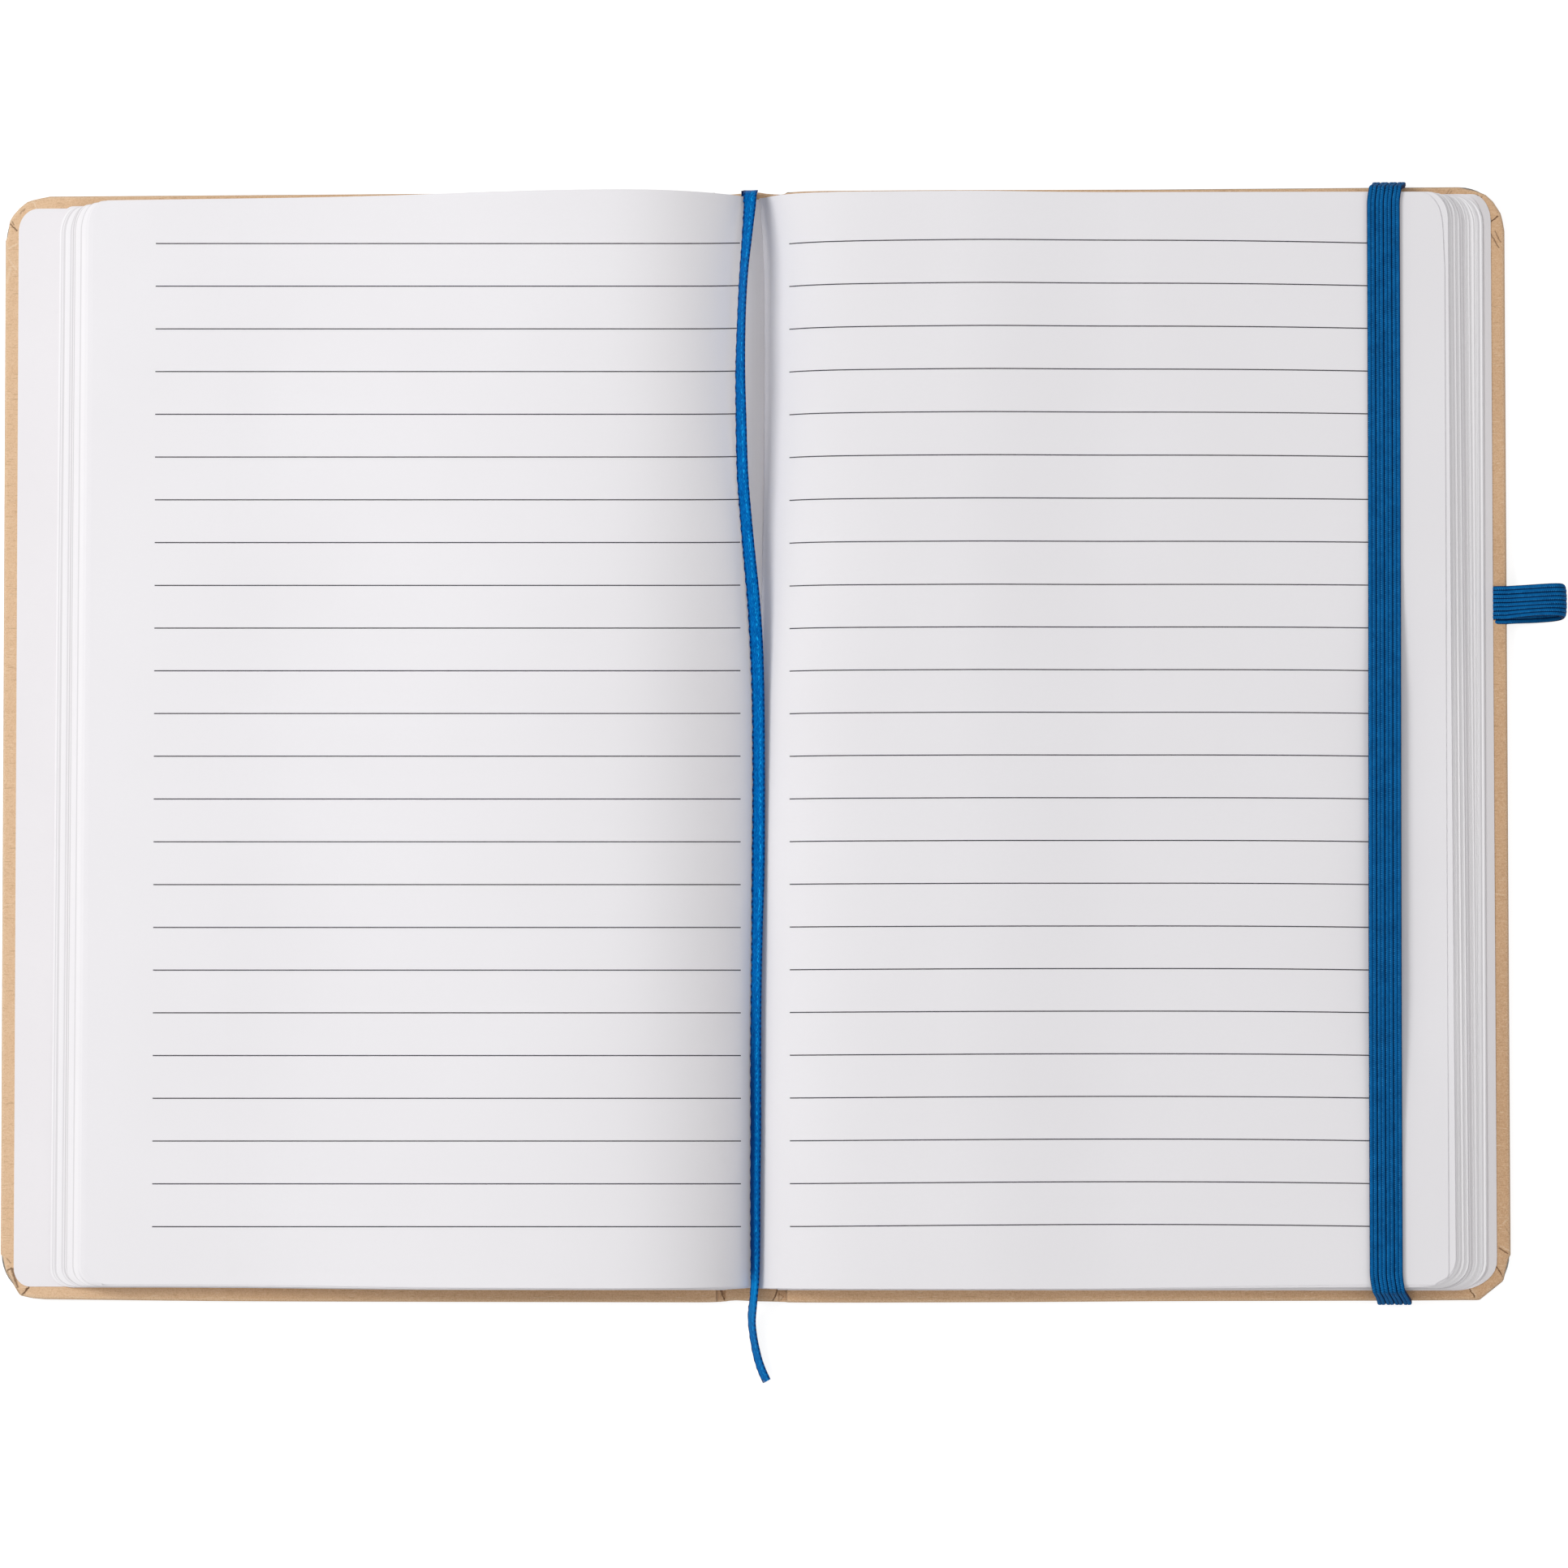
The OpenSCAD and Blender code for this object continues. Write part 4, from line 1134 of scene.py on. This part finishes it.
BOW_X = [8.5, 40, 80, 115]
BOWS = [(0, (0.18, 0.35, 0.20, -0.52)), (8, (-0.32, -0.36, -0.40, -0.68)),
        (16, (-0.24, -0.22, -0.20, -0.50)), (23, (-0.08, 0.20, 0.30, -0.03))]


def bowed(xs, y0, i):
    marks = [np.interp(i, [b[0] for b in BOWS], [b[1][k] for b in BOWS]) for k in range(4)]
    return y0 + np.polyval(np.polyfit(BOW_X, marks, 3), xs)


ruled_lines("left_lines", left_top, GUTTER_X - 3.1, -112.8, ["left_ruling"], straight_for_eye)
ruled_lines("right_lines", right_top, GUTTER_X + 6.2, 117.0, ["right_ruling"], bowed)

# ---------------------------------------------------------------- elastic band and pen loop

CORDS = 8
CORD_POINTS = 7


def ribbed_section(width, thick, swell=1.0, low=0.50):
    """Section of knitted elastic as (across, out, cord number), all round, ribs on both faces."""
    c = np.arange(CORDS * CORD_POINTS + 1) / CORD_POINTS
    cord = np.sqrt(1 - (2 * (c % 1) - 1) ** 2)
    pair = np.sqrt(1 - (2 * (c / 2 % 1) - 1) ** 2)
    h = low + 0.26 * pair ** 0.7 * swell + 0.24 * cord ** 0.8 * (0.55 + 0.45 * pair)
    upper = np.stack([(c / CORDS * 2 - 1) * width / 2, np.minimum(h, 1) * thick / 2,
                      np.clip(c, 0.02, CORDS - 0.02)], 1)
    return np.concatenate([upper, upper[::-1] * (1, -1, 1)])


def arc_line(cx, cy, r, a0, a1, steps):
    a = np.radians(np.linspace(a0, a1, steps + 1))
    return np.stack([cx + r * np.cos(a), cy + r * np.sin(a)], 1)


def resample(line, step):
    """Points along a 2-D line, no further apart than a step, without double points."""
    line = line[np.concatenate([[True], np.linalg.norm(np.diff(line, axis=0), axis=1) > 1e-6])]
    out = [line[0]]
    for a, b in zip(line[:-1], line[1:]):
        n = max(1, int(math.ceil(np.linalg.norm(b - a) / step)))
        for k in range(1, n + 1):
            out.append(a + (b - a) * k / n)
    return np.array(out)


def elastic(name, rings, along, section, replaces, slack):
    verts, faces = tube(rings)
    make(name, verts, faces, band_elastic, "blue_elastic", "book", replaces, 75,
         cord=np.tile(section[:, 2], len(along)), along=np.repeat(along, len(section)),
         slack=np.full(len(verts), slack))


def band_end(page_edge):
    """Half of the band's line: from the pages' edge round the cover's edge to the slot under it."""
    t = BAND_T / 2
    edge = COVER_H / 2
    slope = math.degrees(math.atan2(edge - page_edge, RIM_Z - COVER_TOP))
    return np.concatenate([
        arc_line(page_edge - 0.5, RIM_Z - 0.5, 0.5 + t, 90, slope, 10),
        arc_line(edge - 0.3, COVER_TOP - 0.3, 0.3 + t, slope, 0, 4),
        arc_line(edge - 0.3, 0.3, 0.3 + t, 0, -90, 8),
        np.array([[100, -t], [95, -t], [88.4, -t]]),
        arc_line(87.6, 0.6, 0.6 + t, -90, -150, 5),
        np.array([[86.75, 1.0], [86.75, 1.7]])])


def band_piece():
    """The band's middle line runs from the slot at the tail over the pages to the slot at the head."""
    t = BAND_T / 2
    middle = np.array([[-98, RIM_Z + t], [98, RIM_Z + t]])
    line = np.concatenate([(band_end(-PAGE_TAIL) * (-1, 1))[::-1], middle, band_end(PAGE_HEAD)])
    line = resample(line, 0.45)
    # Short steps where the band bends, long ones between
    line = line[(np.abs(line[:, 0]) > 97) | (np.arange(len(line)) % 5 == 0)]
    y = line[:, 0]
    along, tangent = run_along(line)
    normal = np.stack([-tangent[:, 1], tangent[:, 0]], 1)
    first, last = along[line[:, 1] > RIM_Z + t - 0.01][[0, -1]]
    # The band drifts to the right where it goes round the cover's head and tail
    over = np.where(y > 0, along - last, first - along)
    shift = np.where(y > 0, 1.35 * smooth(-2.5, 6.5, over), 1.85 * smooth(-3.0, 8.0, over))
    shift = shift * (1 - 0.6 * smooth(9, 22, over))
    shift = shift + 0.05 * np.sin(y / 31.0) * smooth(99, 92, np.abs(y)) + 0.0024 * y
    bend = np.where(y > 0, smooth(-1.0, 0.6, over), 0.8 * smooth(-0.6, 1.0, over)) * smooth(9, 7.5, over)
    spread = np.where(y > 0, 0.02 * smooth(-1, 5, over), 0.05 * smooth(2, 7, over))
    keep_in = np.where(y > 0, smooth(5.2, 6.4, over), 0.0)[:, None]
    bend = bend[:, None]
    flat = ribbed_section(BAND_W + 0.15, BAND_T)
    bent = ribbed_section(BAND_W + 0.15, BAND_T, 1.5, 0.42)
    # Its cords stand out where it is bent, but not where it lies against the cover
    lift = flat[:, 1] + (bent[:, 1] - flat[:, 1]) * bend
    most = np.where(keep_in < 1, lift + 1 - keep_in, t)
    lift = np.where(flat[:, 1] > 0, np.minimum(lift * (1 + 0.35 * bend), most), lift)
    x = BAND_X + flat[:, 0] * (1 + spread[:, None]) + shift[:, None]
    rings = np.concatenate([x[..., None], line[:, None] + normal[:, None] * lift[..., None]], -1)
    elastic("elastic_strap", rings, along, flat, ["elastic_band"], 0.0)


band_piece()


def loop_half(side):
    """One half of the pen loop's middle line, a drop drawn out from its neck to its tip."""
    reach, lift, high, neck = LOOP_REACH, 2.2, 8.0, COVER_TOP - LOOP_T
    fullest = math.radians(120)
    swell = math.sin(fullest) * math.sin(fullest / 2) ** 2
    a = np.radians(np.linspace(0, 180, 46))
    out = (1 - np.cos(a)) / 2
    half_gap = LOOP_T / 2 * np.cos(a / 2) ** 2 + (high - LOOP_T) / 2 * np.sin(a) * np.sin(a / 2) ** 2 / swell
    x = EDGE_X + (reach - LOOP_T / 2) * out
    half = np.stack([x, neck + lift / math.sin(fullest / 2) ** 2 * out + side * half_gap], 1)
    run = np.array([[x, half[0, 1]] for x in (134.6, 137, 139.5, 140.0, 140.5, 141, 141.5, 142)])
    return np.concatenate([run, half])


def loop_piece():
    line = resample(np.concatenate([loop_half(1), loop_half(-1)[-2::-1]]), 0.6)
    # Both runs come out from under the endpaper and lie over the kraft to the cover's edge
    line[:, 1] += 0.9 * (smooth(139.75, 140.7, line[:, 0]) - smooth(143, 148, line[:, 0]))
    along, tangent = run_along(line)
    normal = np.stack([-tangent[:, 1], tangent[:, 0]], 1)
    tip = EDGE_X + LOOP_REACH
    section = ribbed_section(LOOP_W - 0.1, LOOP_T)
    u, h = section[:, 0], section[:, 1]
    out = np.clip((line[:, :1] - EDGE_X) / LOOP_REACH, 0, 1)
    under = smooth(0.44, 0.56, along / along[-1])[:, None]
    shift = (-0.05 + 0.15 * out) * (1 - under) + (-0.9 + 0.75 * out) * under
    # The upper run's near edge is drawn in a little along its middle
    near = 0.32 * np.sin(math.pi * out) * smooth(0, -3.2, u) * (1 - under)
    # At its tip the loop's edges are rounded off
    rounding = 0.55 * np.abs(u / 3.2) ** 5 * smooth(tip - 3.1, tip + 0.6, line[:, :1])
    x = line[:, :1] + normal[:, :1] * h - rounding
    rings = np.stack([x, LOOP_Y + shift + u + near, line[:, 1:] + normal[:, 1:] * h], -1)
    elastic("pen_holder", rings, along, section, ["pen_loop"], 1.0)


loop_piece()

# ---------------------------------------------------------------- hidden CAD parts


for name, material in (("front_board", greyboard), ("back_board", greyboard),
                       ("spine_strip", greyboard), ("spine_lining", gauze)):
    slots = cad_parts[name].data.materials
    slots.clear()
    slots.append(material)

# ---------------------------------------------------------------- floor, world and light

FLOOR_REACH = 4.0
FLOOR_Z = -0.0008


def floor_piece():
    """A matt grey floor that also glows, but only for the camera and in reflections."""
    material = bpy.data.materials.new("floor")
    t = Tree(material, "Material")
    seen = t.math("MAXIMUM", *(t.node("LightPath", out=ray) for ray in ("Is Camera Ray", "Is Glossy Ray")))
    glow = t.node("Emission", {"Strength": t.times(seen, 0.80)})
    matt = t.node("BsdfDiffuse", {"Color": (0.42, 0.42, 0.42, 1)})
    t.join(t.node("AddShader", {0: matt, 1: glow}), t.surface)
    mesh = bpy.data.meshes.new("floor")
    corners = [(x * FLOOR_REACH, y * FLOOR_REACH, FLOOR_Z) for x, y in ((-1, -1), (1, -1), (1, 1), (-1, 1))]
    mesh.from_pydata(corners, [], [(0, 1, 2, 3)])
    mesh.materials.append(material)
    add_object("floor", mesh)


def world_light():
    """Soft light from all round, which the camera sees as plain white."""
    scene.world = bpy.data.worlds.new("studio")
    t = Tree(scene.world, "World")
    soft = t.node("Background", {"Color": (1.0, 0.995, 1.0, 1), "Strength": 0.51})
    white = t.node("Background", {"Color": (1, 1, 1, 1), "Strength": 1.0})
    camera_ray = t.node("LightPath", out="Is Camera Ray")
    t.join(t.node("MixShader", {0: camera_ray, 1: soft, 2: white}), t.surface)


def lamp(name, place, size, power):
    """A square lamp in m, aimed at the middle of the book."""
    data = bpy.data.lights.new(name, "AREA")
    data.shape = "SQUARE"
    data.size = size
    data.energy = power
    obj = add_object(name, data)
    obj.location = place
    obj.rotation_euler = (-Vector(place)).to_track_quat("-Z", "Y").to_euler()


floor_piece()
world_light()
lamp("key", (-0.60, 0.21, 0.78), 0.36, 4.4)
lamp("right_fill", (1.2, 0.1, 1.3), 0.9, 2.5)
lamp("tail_fill", (-0.20, -0.85, 0.85), 0.5, 1.0)
